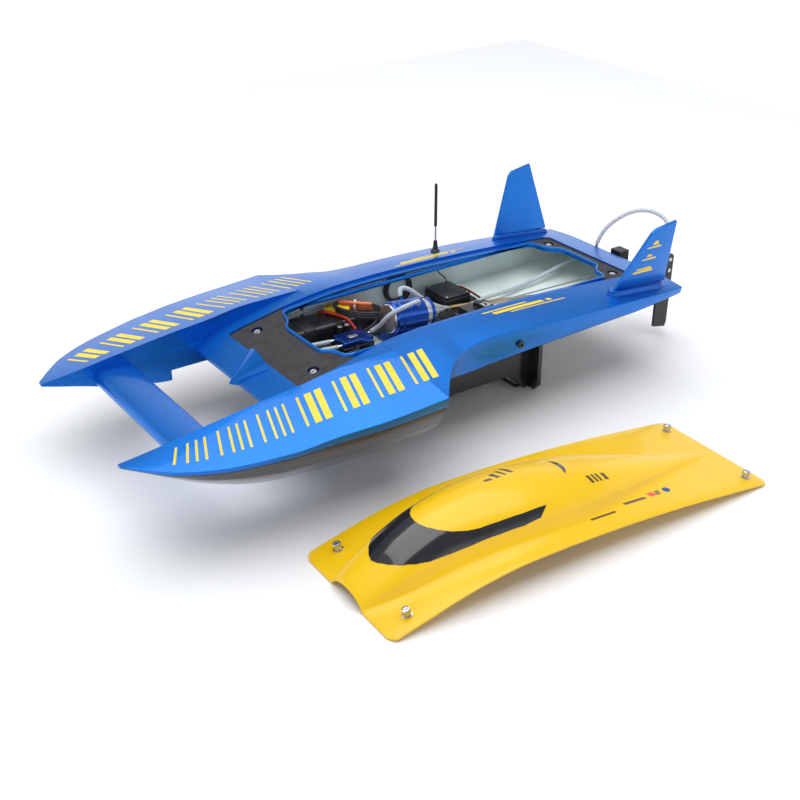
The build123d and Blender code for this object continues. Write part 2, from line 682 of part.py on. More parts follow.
with BuildPart() as strut:
    turned([(0, 1), (5.5, 1), (5.5, BARREL_LENGTH), (0, BARREL_LENGTH)], STRUT_AT, strut_dir)
    with BuildSketch(Plane.XZ.offset(-3.0)):
        with BuildLine():
            Polyline((-389, 62), (-389, 110), (-402, 110), (-408, 84), (-420, 64), close=True)
        make_face()
    extrude(amount=6.0)
    block((-402, 0.1 - CHEEK_Y[0], 88), (-389, CHEEK_Y[0] - 0.1, 108))
    turned([(0, 0), (3.3, 0), (3.3, 80), (0, 80)], STRUT_AT, strut_dir, mode=Mode.SUBTRACT)
    for z in (92, 104):
        rod((STERN_X - 14, -16, z), (STERN_X - 14, 16, z), 1.6, mode=Mode.SUBTRACT)
finish(strut, "strut")

with BuildPart() as strut_bolts:
    for z in (92, 104):
        rod((STERN_X - 14, -11.5, z), (STERN_X - 14, 9, z), 1.6)
        rod((STERN_X - 14, 9, z), (STERN_X - 14, 11.8, z), 3.0)
        rod((STERN_X - 14, -9, z), (STERN_X - 14, -11.5, z), 3.0)
finish(strut_bolts, "strut_bolts")

STRUT_BORE = 3.3
with BuildPart() as strut_bushings:
    for start in (1.5, BARREL_LENGTH - 12.5):
        turned([(STUB_RADIUS + 0.04, start), (STRUT_BORE, start), (STRUT_BORE, start + 12),
                (STUB_RADIUS + 0.04, start + 12)], STRUT_AT, strut_dir)
finish(strut_bushings, "strut_bushings")

with BuildPart() as stub_shaft:
    turned([(0, 1.0), (STUB_RADIUS, 1.0), (STUB_RADIUS, 76), (0, 76)], STRUT_AT, strut_dir)
finish(stub_shaft, "stub_shaft")

DOG = (46.6, 55.0)
HUB = (55.4, 69.0)
with BuildPart() as drive_dog:
    turned([(STUB_RADIUS, DOG[0]), (4.4, DOG[0]), (5.8, 49), (5.8, DOG[1]),
            (STUB_RADIUS, DOG[1])], STRUT_AT, strut_dir)
finish(drive_dog, "drive_dog")

PROP_RADIUS = 21.0
BLADE_PITCH = 38.0
hub_middle = Vector(*STRUT_AT) + Vector(*strut_dir) * ((HUB[0] + HUB[1]) / 2)
with BuildPart() as propeller:
    turned([(0, HUB[0]), (5.6, HUB[0]), (4.8, HUB[1]), (0, HUB[1])], STRUT_AT, strut_dir)
    for side in (1, -1):
        radial = Vector(0, side, 0)
        axis = Vector(*strut_dir)
        normal = axis.rotate(Axis((0, 0, 0), (0, side, 0)), BLADE_PITCH)
        with BuildSketch(Plane(origin=hub_middle, x_dir=radial, z_dir=normal)):
            with BuildLine():
                Spline((3.0, 3.0), (10.0, 9.0), (18.0, 8.0), (PROP_RADIUS, 0.5), (17.5, -6.5),
                       (9.0, -6.0), (3.0, -3.0))
                Line((3.0, -3.0), (3.0, 3.0))
            make_face()
        extrude(amount=0.7, both=True)
    turned([(0, HUB[0] - 2), (STUB_RADIUS, HUB[0] - 2), (STUB_RADIUS, 80), (0, 80)],
           STRUT_AT, strut_dir, mode=Mode.SUBTRACT)
finish(propeller, "propeller")

with BuildPart() as propeller_nut:
    nut_plane = Plane(origin=Vector(*STRUT_AT) + Vector(*strut_dir) * (HUB[1] + 0.1),
                      z_dir=strut_dir)
    with BuildSketch(nut_plane):
        RegularPolygon(4.4, 6)
        Circle(STUB_RADIUS, mode=Mode.SUBTRACT)
    extrude(amount=5.0)
finish(propeller_nut, "propeller_nut")

# ---------------------------------------------------------------- motor
motor_dir = (-cos(radians(MOTOR_TILT)), 0, -sin(radians(MOTOR_TILT)))
HALF_CAN = CAN_LENGTH / 2


def ring(inner, outer, start, end, mode=Mode.ADD):
    """A ring about the motor's axis, measured from the middle of the can."""
    profile = [(inner, start), (outer, start), (outer, end), (inner, end)]
    turned(profile, MOTOR_AT, motor_dir, mode=mode)


def on_motor(run, out, up):
    """A point at run along the motor's axis, out to port and up from it."""
    back = Vector(*motor_dir) * run
    return (MOTOR_AT[0] + back.X, MOTOR_AT[1] + out, MOTOR_AT[2] + back.Z + up)


SHAFT_RADIUS = 2.5
with BuildPart() as motor_can:
    turned([(4.5, -HALF_CAN), (CAN_RADIUS - 1, -HALF_CAN), (CAN_RADIUS, 1 - HALF_CAN),
            (CAN_RADIUS, HALF_CAN), (4.5, HALF_CAN), (4.5, HALF_CAN - 3),
            (CAN_RADIUS - 1.4, HALF_CAN - 3), (CAN_RADIUS - 1.4, 3 - HALF_CAN),
            (4.5, 3 - HALF_CAN)], MOTOR_AT, motor_dir)
finish(motor_can, "motor_can")

with BuildPart() as motor_stator:
    ring(11.8, CAN_RADIUS - 1.5, -21, 21)
finish(motor_stator, "motor_stator")

with BuildPart() as motor_rotor:
    ring(SHAFT_RADIUS, 11.2, -20, 20)
finish(motor_rotor, "motor_rotor")

with BuildPart() as motor_shaft:
    ring(0, SHAFT_RADIUS, 0.5 - HALF_CAN, 47)
finish(motor_shaft, "motor_shaft")

with BuildPart() as motor_bearings:
    ring(SHAFT_RADIUS + 0.04, 4.5, -HALF_CAN, 3 - HALF_CAN)
    ring(SHAFT_RADIUS + 0.04, 4.5, HALF_CAN - 3, HALF_CAN)
finish(motor_bearings, "motor_bearings")

with BuildPart() as shaft_coupler:
    turned([(SHAFT_RADIUS, 35), (7.0, 35), (7.0, 46), (5.0, 48), (5.0, 56.5), (3.0, 57), (0, 57),
            (0, 47), (SHAFT_RADIUS, 47)], MOTOR_AT, motor_dir)
finish(shaft_coupler, "shaft_coupler")

JACKET_RADIUS = 20.6
INLET_LEAN = (0, -0.6, 0.8)
OUTFLOW_LEAN = (0, 0.6, 0.8)
with BuildPart() as water_jacket:
    turned([(18.05, -25), (19.4, -25), (JACKET_RADIUS, -23.5), (JACKET_RADIUS, -20), (19.8, -19),
            (19.8, -16), (JACKET_RADIUS, -15), (JACKET_RADIUS, 19), (19.4, 20.5), (18.05, 20.5)],
           MOTOR_AT, motor_dir)
    for run, lean in ((2.0, INLET_LEAN), (7.0, OUTFLOW_LEAN)):
        turned([(0, 19.4), (1.6, 19.4), (1.6, 25), (0, 25)], on_motor(run, 0, 0), lean)
finish(water_jacket, "water_jacket")

with BuildPart() as motor_mount:
    ring(4.7, 19.0, HALF_CAN + 0.1, HALF_CAN + 4.0)
    low = on_motor(HALF_CAN + 2, 0, 0)
    foot_z = floor_z(low[0] - 12) + 0.2
    block((low[0] - 2.0, low[1] - 16, foot_z), (low[0] + 1.8, low[1] + 16, low[2] - 8))
    block((low[0] - 12, low[1] - 20, foot_z), (low[0] + 60, low[1] + 20, foot_z + 3))
    ring(0, 8.2, 32.6, 60, mode=Mode.SUBTRACT)
    ring(0, 4.7, HALF_CAN - 4, HALF_CAN + 8, mode=Mode.SUBTRACT)
    ring(0, JACKET_RADIUS + 0.3, -40, HALF_CAN + 0.1, mode=Mode.SUBTRACT)
finish(motor_mount, "motor_mount")

# ---------------------------------------------------------------- speed controller
ESC_LOW = (5.0, -33.0, POWER_TRAY_TOP + 0.1)
ESC_HIGH = (48.0, -2.0, 98.0)
ESC_INLET = (5.5, -19.0, 94.0)
ESC_INLET_RUN = (-5.5, 0.0, 2.0)
ESC_OUTLETS_Y = (-9.0, -27.0)  # port, starboard
ESC_OUTLET_Z = 93.5
ESC_OUTLET_TIP = 53.5
with BuildPart() as speed_controller:
    block(ESC_LOW, ESC_HIGH)
    fillet(speed_controller.edges().filter_by(Axis.Z), 2.0)
    with BuildSketch(Plane.XY.offset(ESC_HIGH[2] - 2.5)):
        with Locations((26.5, -17.5)):
            with GridLocations(0, 4.2, 1, 7):
                Rectangle(36, 1.4)
    extrude(amount=2.5, mode=Mode.SUBTRACT)
    tip = tuple(p + r for p, r in zip(ESC_INLET, ESC_INLET_RUN))
    rod(ESC_INLET, tip, 1.6)
    for y in ESC_OUTLETS_Y:
        rod((47, y, ESC_OUTLET_Z), (ESC_OUTLET_TIP, y, ESC_OUTLET_Z), 1.6)
finish(speed_controller, "speed_controller")

with BuildPart() as esc_capacitors:
    for x in (18.5, 28.5):
        turned([(0, 0), (4.2, 0), (4.2, 18.5), (3.6, 19.4), (0, 19.4)],
               (x, -43.5, POWER_TRAY_TOP + 0.1))
finish(esc_capacitors, "esc_capacitors")

PACK_Y = (49.0, 90.0)
with BuildPart() as battery_packs:
    for side in (1, -1):
        low, high = sorted((side * PACK_Y[0], side * PACK_Y[1]))
        block((-36, low, POWER_TRAY_TOP + 0.1), (92, high, 103))
    fillet(battery_packs.edges().filter_by(Axis.X), 3.0)
finish(battery_packs, "battery_packs")

# ---------------------------------------------------------------- wiring
BUNDLE_AFT = (-22.4, -48.5, 112.0)
BUNDLE_FRONT = (7.4, -79.0, 112.0)
STRAND = (1.7, 1.2, 4.2)  # spacing from one strand to the next
WIRE_RADIUS = 1.4


def strand(points, step):
    """A route shifted by whole strand spacings."""
    return [tuple(p + step * gap for p, gap in zip(point, STRAND)) for point in points]


with BuildPart() as bullet_connectors:
    for step in (-1, 0, 1):
        start, end = strand([BUNDLE_AFT, BUNDLE_FRONT], step)
        rod(start, end, 2.2)
finish(bullet_connectors, "bullet_connectors")

MOTOR_LEAD_ROUTE = [
    (-16.8, -19.0, 113.0),
    (-8.0, -20.5, 114.0),
    (3.0, -25.0, 115.0),
    (12.5, -35.0, 115.6),
    (18.5, -49.0, 115.4),
    (20.5, -63.0, 114.0),
    (17.0, -75.0, 112.6),
    BUNDLE_FRONT,
]
ESC_LEAD_ROUTE = [
    (4.8, -28.0, 91.0),
    (-4.0, -28.4, 91.5),
    (-14.0, -30.0, 95.0),
    (-23.0, -33.0, 101.0),
    (-29.5, -37.0, 106.6),
    (-29.6, -42.6, 110.6),
    BUNDLE_AFT,
]
with BuildPart() as power_leads:
    for route in (MOTOR_LEAD_ROUTE, ESC_LEAD_ROUTE):
        for step in (-1, 0, 1):
            tube(strand(route, step), WIRE_RADIUS)
finish(power_leads, "power_leads")

BATTERY_WIRE_RADIUS = 1.9
POSITIVE_ROUTE = [
    (33.0, -84.0, 103.1),
    (33.0, -83.4, 107.0),
    (28.0, -77.0, 107.4),
    (22.0, -68.5, 106.4),
    (17.0, -60.0, 105.3),
    (12.6, -51.5, 103.8),
    (10.6, -45.0, 99.5),
    (10.5, -39.0, 96.0),
    (10.5, -33.1, 95.0),
]
NEGATIVE_ROUTE = [
    (92.1, 62.0, 96.0),
    (100.0, 62.0, 96.4),
    (106.0, 54.0, 98.5),
    (104.0, 43.0, 100.0),
    (92.0, 33.0, 99.5),
    (74.0, 23.0, 97.0),
    (56.0, 14.0, 94.0),
    (40.0, 9.0, 92.4),
    (32.5, 5.0, 92.0),
    (32.0, -1.9, 92.0),
]
with BuildPart() as battery_leads:
    for route in (POSITIVE_ROUTE, NEGATIVE_ROUTE):
        tube(route, BATTERY_WIRE_RADIUS)
finish(battery_leads, "battery_leads")

SERVO_WIRE_RADIUS = 0.7
SERVO_WIRE_STEP = 1.5
SERVO_LEAD_ROUTE = [
    (-168.2, -72.0, 95.5),
    (-174.0, -71.4, 95.2),
    (-181.0, -64.0, 92.0),
    (-185.0, -50.0, 88.4),
    (-185.5, -34.0, 86.8),
    (-182.0, -18.0, 86.6),
    (-176.0, -4.0, 86.7),
    (-168.5, 7.0, 88.0),
    (-158.2, 12.0, 90.0),
]
with BuildPart() as servo_lead:
    for step in (-1, 0, 1):
        tube([(x, y, z + SERVO_WIRE_STEP * step) for x, y, z in SERVO_LEAD_ROUTE],
             SERVO_WIRE_RADIUS)
finish(servo_lead, "servo_lead")

# ---------------------------------------------------------------- cooling water
HOSE_RADIUS = 2.8
ELBOW_X = STERN_X - 7
ELBOW_TOP = 115.0
with BuildPart() as hull_fittings:
    # elbow through the transom
    rod((STERN_X + 9, FITTING_Y, FITTING_Z), (ELBOW_X, FITTING_Y, FITTING_Z), 2.9)
    turned([(0, 0.2), (5.2, 0.2), (5.2, 2.6), (0, 2.6)], (STERN_X, FITTING_Y, FITTING_Z),
           (-1, 0, 0))
    rod((ELBOW_X, FITTING_Y, FITTING_Z - 2.9), (ELBOW_X, FITTING_Y, ELBOW_TOP - 4), 2.9)
    rod((ELBOW_X, FITTING_Y, ELBOW_TOP - 4), (ELBOW_X, FITTING_Y, ELBOW_TOP), 1.6)
    # water outlets through the sides
    for side in (1, -1):
        turned([(0, 129.5), (2.9, 129.5), (2.9, 137.3), (4.6, 137.3), (4.6, 138.4), (2.6, 139.4),
                (1.6, 139.4), (1.6, 134), (0, 134)], (OUTLET_X, 0, OUTLET_Z), (0, side, 0))
    # drain plug
    turned([(0, -6), (3.9, -6), (3.9, 0.2), (6.0, 0.2), (6.0, 3.0), (0, 3.0)],
           (STERN_X, DRAIN_Y, DRAIN_Z), (-1, 0, 0))
finish(hull_fittings, "hull_fittings")

PICKUP_ROUTE = [
    (PIVOT_X, PIVOT_Y, NIPPLE_TOP + 0.3),
    (PIVOT_X - 2.0, PIVOT_Y + 1.0, 128.0),
    (-443.0, 43.0, 146.0),
    (-447.0, 30.0, 160.0),
    (-439.0, 10.0, 168.0),
    (-425.0, -10.0, 165.0),
    (-409.0, -26.0, 151.0),
    (-394.0, -36.0, 133.0),
    (ELBOW_X, FITTING_Y, ELBOW_TOP + 0.3),
]
with BuildPart() as pickup_hose:
    tube(PICKUP_ROUTE, HOSE_RADIUS)
finish(pickup_hose, "pickup_hose")

inlet_tip = Vector(*on_motor(2.0, 25.3 * INLET_LEAN[1], 25.3 * INLET_LEAN[2]))
outflow_tip = Vector(*on_motor(7.0, 25.3 * OUTFLOW_LEAN[1], 25.3 * OUTFLOW_LEAN[2]))
JACKET_ROUTE = [
    (inlet_tip.X, inlet_tip.Y, inlet_tip.Z),
    (-48.3, -27.2, 134.6),
    (-54.0, -30.0, 136.4),
    (-64.5, -30.0, 132.0),
    (-76.0, -28.6, 122.0),
    (-89.0, -27.0, 110.5),
    (-103.0, -25.0, 101.0),
    (-118.0, -23.0, 94.4),
    (-135.0, -21.5, 91.2),
    (-156.0, -21.0, 90.6),
    (-186.0, -25.0, 92.6),
    (-222.0, -30.0, 89.0),
    (-262.0, -35.0, 89.4),
    (-302.0, -37.6, 95.0),
    (-338.0, -38.2, 103.0),
    (STERN_X + 9.1, FITTING_Y, FITTING_Z),
]
ESC_HOSE_ROUTE = [
    (outflow_tip.X, outflow_tip.Y, outflow_tip.Z),
    (-51.3, 10.6, 133.2),
    (-45.0, 13.2, 135.6),
    (-33.0, 12.6, 133.4),
    (-21.0, 9.4, 129.4),
    (-12.0, 3.6, 122.4),
    (-9.0, -3.0, 114.0),
    (-9.0, -11.0, 105.0),
    (-7.2, -18.4, 98.6),
    (tip[0] - 0.3, tip[1], tip[2] + 0.1),
]
OUTLET_ROUTE_PORT = [
    (ESC_OUTLET_TIP + 0.1, ESC_OUTLETS_Y[0], ESC_OUTLET_Z),
    (64.0, -10.6, ESC_OUTLET_Z),
    (76.0, -14.5, 93.0),
    (89.0, -12.0, 91.0),
    (99.5, 0.0, 88.6),
    (105.4, 20.0, 86.8),
    (106.5, 46.0, 87.0),
    (105.5, 70.0, 89.5),
    (104.0, 88.0, 94.5),
    (92.0, 95.4, 101.0),
    (66.0, 95.6, 106.5),
    (30.0, 96.4, 110.2),
    (-10.0, 97.4, 111.4),
    (-50.0, 100.6, 111.6),
    (-80.0, 107.0, 111.4),
    (-98.0, 114.0, 111.2),
    (-104.4, 121.6, 111.0),
    (OUTLET_X, 129.2, OUTLET_Z),
]
OUTLET_ROUTE_STARBOARD = [
    (ESC_OUTLET_TIP + 0.1, ESC_OUTLETS_Y[1], ESC_OUTLET_Z),
    (64.0, -28.4, ESC_OUTLET_Z),
    (76.0, -31.8, 93.0),
    (89.0, -36.0, 91.0),
    (99.0, -43.0, 88.6),
    (104.8, -55.0, 87.4),
    (105.6, -70.0, 89.5),
    (104.0, -86.5, 94.5),
    (92.0, -95.0, 101.0),
    (66.0, -95.6, 104.5),
    (34.0, -98.0, 105.6),
    (2.0, -102.6, 105.4),
    (-28.0, -105.6, 106.4),
    (-56.0, -106.6, 108.6),
    (-80.0, -109.0, 110.6),
    (-98.0, -114.4, 111.3),
    (-104.6, -121.6, 111.0),
    (OUTLET_X, -129.2, OUTLET_Z),
]
with BuildPart() as cooling_hoses:
    for route in (JACKET_ROUTE, ESC_HOSE_ROUTE, OUTLET_ROUTE_PORT, OUTLET_ROUTE_STARBOARD):
        tube(route, HOSE_RADIUS)
finish(cooling_hoses, "cooling_hoses")

# ---------------------------------------------------------------- turn fin
with BuildPart() as turn_fin:
    block((SPONSON_END_X - 3.2, -152, 62), (SPONSON_END_X - 0.2, -126, 78))
    with BuildSketch(Plane.XZ.offset(126.0)):
        with BuildLine():
            Polyline((48, 78), (28, 78), (19, 50), (23, 36), (41, 32), (48, 62), close=True)
        make_face()
    extrude(amount=2.0)
finish(turn_fin, "turn_fin")

# ---------------------------------------------------------------- cowl
COWL = Plane(
    origin=(*COWL_PLACE, 0),
    x_dir=(cos(radians(COWL_YAW)), sin(radians(COWL_YAW)), 0),
    z_dir=(0, 0, 1),
)
COWL_SHIFT = (RECESS_FRONT_X + RECESS_REAR_X) / 2
CANOPY = [  # along the cowl, half width, height above the shell
    (247.8, 28.0, 13.0),
    (225.0, 36.0, 23.0),
    (195.0, 41.0, 35.0),
    (150.0, 47.0, 43.0),
    (90.0, 54.0, 43.0),
    (30.0, 55.0, 41.5),
    (-30.0, 50.0, 34.0),
    (-96.0, 36.0, 22.0),
    (-164.0, 20.0, 9.0),
    (-220.0, 8.0, 3.0),
]


def cowl_rise(u):
    """Height of the shell's underside where the cowl lies on its four corners."""
    x = u + COWL_SHIFT
    share = (x - RECESS_REAR_X) / (RECESS_FRONT_X - RECESS_REAR_X)
    chord = deck_z(RECESS_REAR_X) + share * (deck_z(RECESS_FRONT_X) - deck_z(RECESS_REAR_X))
    return COWL_SPRING * (deck_z(x) - chord)


def cowl_plane(u, lift=0.0):
    """Section plane across the cowl at u, with its origin on the shell's underside."""
    at = COWL.from_local_coords(Vector(u, 0, cowl_rise(u) + lift))
    return Plane(origin=at, x_dir=COWL.y_dir, z_dir=COWL.x_dir)


def canopy_section(u, half, height, thin=0.0, dip=0.0):
    """Cross-section of the raised canopy, thin mm inside its outer face."""
    w, h = half - thin, height - thin
    with BuildSketch(cowl_plane(u, 0.6)) as arch:
        with BuildLine():
            Spline((w, 0), (0.82 * w, 0.5 * h), (0.45 * w, 0.9 * h), (0, h), (-0.45 * w, 0.9 * h),
                   (-0.82 * w, 0.5 * h), (-w, 0))
            Polyline((-w, 0), (-w, -dip), (w, -dip), (w, 0)) if dip else Line((-w, 0), (w, 0))
        make_face()
    return arch.sketch


screw_spots = [(x - COWL_SHIFT, s * y) for x, y in (SCREW_FRONT, SCREW_REAR) for s in (1, -1)]
with BuildPart() as cowl:
    ends = COWL_LENGTH / 2
    knots = [x - COWL_SHIFT for x, z in DECK_LINE if abs(x - COWL_SHIFT) < ends - 1]
    under = [(u, cowl_rise(u)) for u in (-ends, *knots, ends)]
    over = [(u, z + COWL_SHELL) for u, z in under]
    side_plane = Plane(origin=COWL.origin, x_dir=COWL.x_dir, z_dir=-COWL.y_dir)
    with BuildSketch(side_plane) as profile:
        with BuildLine():
            Polyline(*under, *reversed(over), close=True)
        make_face()
    extrude(amount=COWL_WIDTH / 2, both=True)
    with BuildSketch(COWL.offset(-10)):
        RectangleRounded(COWL_LENGTH, COWL_WIDTH, 9.0)
    extrude(amount=80, mode=Mode.INTERSECT)
    loft([canopy_section(*row) for row in CANOPY], ruled=True)
    loft([canopy_section(*row, thin=COWL_SHELL, dip=4.0) for row in CANOPY[:-1]], ruled=True,
         mode=Mode.SUBTRACT)
    with BuildSketch(COWL.offset(-10)):
        with Locations(*screw_spots):
            Circle(2.6)
    extrude(amount=80, mode=Mode.SUBTRACT)
finish(cowl, "cowl")

SCREW_NAMES = (
    "cowl_screw_front_port",
    "cowl_screw_front_starboard",
    "cowl_screw_rear_port",
    "cowl_screw_rear_starboard",
)
for name, (u, v) in zip(SCREW_NAMES, screw_spots):
    seat = COWL.from_local_coords(Vector(u, v, cowl_rise(u) + COWL_SHELL + 0.15))
    slope = (cowl_rise(u + 3) - cowl_rise(u - 3)) / 6
    stem = (Vector(0, 0, 1) - COWL.x_dir * slope).normalized()
    with BuildPart() as screw:
        turned([(0, -3.4), (1.9, -3.4), (1.9, 0), (5.4, 0), (5.4, 1.0), (3.6, 1.0),
                (3.6, 2.4), (4.6, 3.0), (4.6, 8.0), (3.8, 8.8), (0, 8.8)], tuple(seat), tuple(stem))
    finish(screw, name)

# ---------------------------------------------------------------- display stand
PANEL = 6.0
PAD = 3.0
REAR_CRADLE_X = -192.0
FRONT_CRADLE_X = 92.0
CRADLE_HALF = 80.0
RAIL_Y = 60.0
RAIL_Z = (21.0, 60.0)
CRADLE_OUTLINE = [(0, 24), (36, 24), (54, 0), (74, 0), (CRADLE_HALF, 7)]
RAIL_FOOT = 8.0  # length of each rail's feet on the surface
RAIL_SPLAY = 33.0  # how far each foot spreads to reach the rail's lower edge


def cradle_top(x):
    """Top edge of a cradle: the hull's bottom less the pad."""
    table, column = (AFTERBODY, 5) if x < SPONSON_END_X else (POD, 2)
    return along(table, x, column) - PAD - 0.4


with BuildPart() as stand_cradles:
    for x in (REAR_CRADLE_X, FRONT_CRADLE_X):
        top = cradle_top(x + PANEL / 2)
        half = CRADLE_OUTLINE + [(CRADLE_HALF, top), (46, top), (30, top - 16), (0, top - 16)]
        for side in (1, -1):
            with BuildSketch(cross_plane(x)):
                with BuildLine():
                    Polyline(*[(side * y, z) for y, z in half], close=True)
                make_face()
            extrude(amount=PANEL)
        for side in (1, -1):
            low = side * RAIL_Y - PANEL / 2 - 0.05
            block((x - 1, low, RAIL_Z[0] - 0.05), (x + PANEL + 1, low + PANEL + 0.1, 41),
                  mode=Mode.SUBTRACT)
finish(stand_cradles, "stand_cradles")

with BuildPart() as stand_rails:
    for side in (1, -1):
        low = side * RAIL_Y - PANEL / 2
        rear, front = REAR_CRADLE_X + PANEL + 0.1, FRONT_CRADLE_X - 0.1
        lower, upper = RAIL_Z
        with BuildSketch(Plane.XZ.offset(-low - PANEL)):
            with BuildLine():
                Polyline(
                    (REAR_CRADLE_X - 8, lower),
                    (rear, lower),
                    (rear, 0),
                    (rear + RAIL_FOOT, 0),
                    (rear + RAIL_SPLAY, lower + 3),
                    (front - RAIL_SPLAY, lower + 3),
                    (front - RAIL_FOOT, 0),
                    (front, 0),
                    (front, lower),
                    (FRONT_CRADLE_X + PANEL + 8, lower),
                    (FRONT_CRADLE_X + PANEL + 8, upper),
                    (REAR_CRADLE_X - 8, upper),
                    close=True,
                )
            make_face()
        extrude(amount=PANEL)
        for x in (REAR_CRADLE_X, FRONT_CRADLE_X):
            block((x - 0.1, low - 1, 40.9), (x + PANEL + 0.1, low + PANEL + 1, 80),
                  mode=Mode.SUBTRACT)
finish(stand_rails, "stand_rails")

# a flat base strip on the surface between the cradles, with a cross piece at each end
KEEL_HALF, KEEL_CROSS, KEEL_THICKNESS = 12.0, 56.8, 5.0
with BuildPart() as stand_base:
    block((REAR_CRADLE_X + PANEL + 0.1, -KEEL_HALF, 0),
          (FRONT_CRADLE_X - 0.1, KEEL_HALF, KEEL_THICKNESS))
    for x in (REAR_CRADLE_X + PANEL + 0.1, FRONT_CRADLE_X - 16.1):
        block((x, -KEEL_CROSS, 0), (x + 16, KEEL_CROSS, KEEL_THICKNESS))
finish(stand_base, "stand_base")

with BuildPart() as stand_pads:
    for x in (REAR_CRADLE_X, FRONT_CRADLE_X):
        top = cradle_top(x + PANEL / 2)
        for low in (-CRADLE_HALF, 46.0):
            block((x, low, top), (x + PANEL, low + CRADLE_HALF - 46.0, top + PAD))
finish(stand_pads, "stand_pads")
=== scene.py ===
"""Looks of the racing hydroplane: mouldings, paint, hoses, wiring, cowl and studio."""

import json
from math import cos, hypot, pi, radians, sin, sqrt

import bmesh
import bpy
from mathutils import Matrix, Vector


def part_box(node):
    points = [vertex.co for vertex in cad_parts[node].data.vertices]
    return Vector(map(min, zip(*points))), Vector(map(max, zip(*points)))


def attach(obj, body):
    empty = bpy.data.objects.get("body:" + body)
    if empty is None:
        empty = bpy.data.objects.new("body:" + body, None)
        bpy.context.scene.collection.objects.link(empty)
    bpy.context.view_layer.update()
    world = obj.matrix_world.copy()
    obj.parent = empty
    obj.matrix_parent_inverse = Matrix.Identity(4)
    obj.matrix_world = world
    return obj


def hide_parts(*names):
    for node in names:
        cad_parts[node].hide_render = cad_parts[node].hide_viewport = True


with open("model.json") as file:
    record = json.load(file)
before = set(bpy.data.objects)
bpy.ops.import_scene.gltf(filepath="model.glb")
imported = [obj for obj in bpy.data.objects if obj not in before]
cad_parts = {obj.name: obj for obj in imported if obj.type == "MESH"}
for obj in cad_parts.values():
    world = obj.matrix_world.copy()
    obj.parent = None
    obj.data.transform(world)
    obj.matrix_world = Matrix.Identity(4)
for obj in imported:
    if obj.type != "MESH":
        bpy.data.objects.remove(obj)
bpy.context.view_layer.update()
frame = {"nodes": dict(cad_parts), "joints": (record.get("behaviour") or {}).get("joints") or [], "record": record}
nodes = frame["nodes"]
MM = 0.001

# ---------------------------------------------------------------- driving sizes, mm
STERN_X, BOW_X = -381.0, 381.0
SPONSON_END_X = 50.0
INNER_WALL_Y = 103.0
WALL = 3.0
HATCH_DROP = 3.0
RECESS_REAR_X, RECESS_FRONT_X = -338.0, 160.0
RECESS_HALF_WIDTH = 82.0
BOTTOM_HALF_WIDTH = 96.0
SIDE_FOOT_Y = 134.0
LIP_WIDTH = 3.0
SOCKETS = [(x, side * y) for x, y in ((131.0, 63.0), (-321.0, 62.0)) for side in (1, -1)]

# x, deck height, edge y, edge z, side's lower z, bottom z
AFTERBODY = [
    (STERN_X, 116.0, 128.0, 112.0, 103.0, 84.0),
    (-335.0, 124.0, 133.5, 115.0, 102.5, 82.0),
    (-280.0, 128.6, 136.5, 119.5, 101.5, 81.0),
    (-200.0, 134.0, 139.0, 124.3, 100.0, 79.5),
    (-120.0, 137.0, 137.5, 128.5, 98.0, 78.0),
    (-60.0, 137.7, 135.4, 130.5, 95.5, 77.0),
    (-20.0, 137.3, 142.0, 129.0, 94.0, 76.5),
    (0.0, 136.8, 153.0, 128.0, 94.0, 76.0),
    (20.0, 135.6, 169.0, 125.0, 94.0, 75.5),
    (40.0, 133.6, 192.0, 120.5, 94.0, 75.0),
    (SPONSON_END_X, 132.5, 204.6, 118.5, 94.0, 75.0),
]
# x, deck height, bottom z
POD = [
    (SPONSON_END_X, 132.5, 75.0),
    (80.0, 128.0, 74.5),
    (120.0, 120.0, 74.0),
    (160.0, 111.0, 74.0),
    (178.0, 103.5, 75.5),
    (194.0, 95.5, 91.0),
]
# x, inner deck z, deck edge y, z, bevel y, z, chine y, z, keel y, z, inner wall's lower z
SPONSON = [
    (50.0, 133.0, 205.0, 118.5, 200.5, 104.5, 187.0, 79.0, 151.0, 46.0, 74.0),
    (120.0, 132.5, 203.7, 114.7, 199.5, 103.0, 185.5, 78.0, 151.0, 47.0, 74.0),
    (180.0, 125.5, 198.5, 112.5, 194.5, 102.0, 181.0, 78.0, 150.0, 49.5, 74.0),
    (224.0, 121.5, 194.5, 108.5, 190.5, 100.0, 177.0, 78.0, 148.0, 52.0, 74.0),
    (228.0, 121.0, 194.0, 108.3, 190.0, 99.8, 176.5, 78.0, 148.0, 52.5, 61.0),
    (260.0, 117.0, 186.5, 106.0, 183.0, 98.5, 171.0, 80.0, 146.0, 58.0, 66.0),
    (300.0, 112.0, 174.0, 104.0, 170.5, 97.0, 160.0, 84.0, 141.0, 70.0, 75.0),
    (340.0, 106.5, 152.0, 103.0, 149.0, 97.0, 141.0, 91.0, 128.0, 84.5, 87.0),
    (365.0, 103.8, 128.0, 102.8, 125.5, 98.5, 120.0, 96.0, 113.0, 93.5, 94.0),
    (BOW_X, 102.4, 110.0, 102.3, 109.5, 100.6, 108.0, 99.8, 106.0, 99.2, 99.0),
]
OPENING = [(105, 38), (95, 48), (90, 72), (-297, 72), (-303, 46), (-320, 34)]


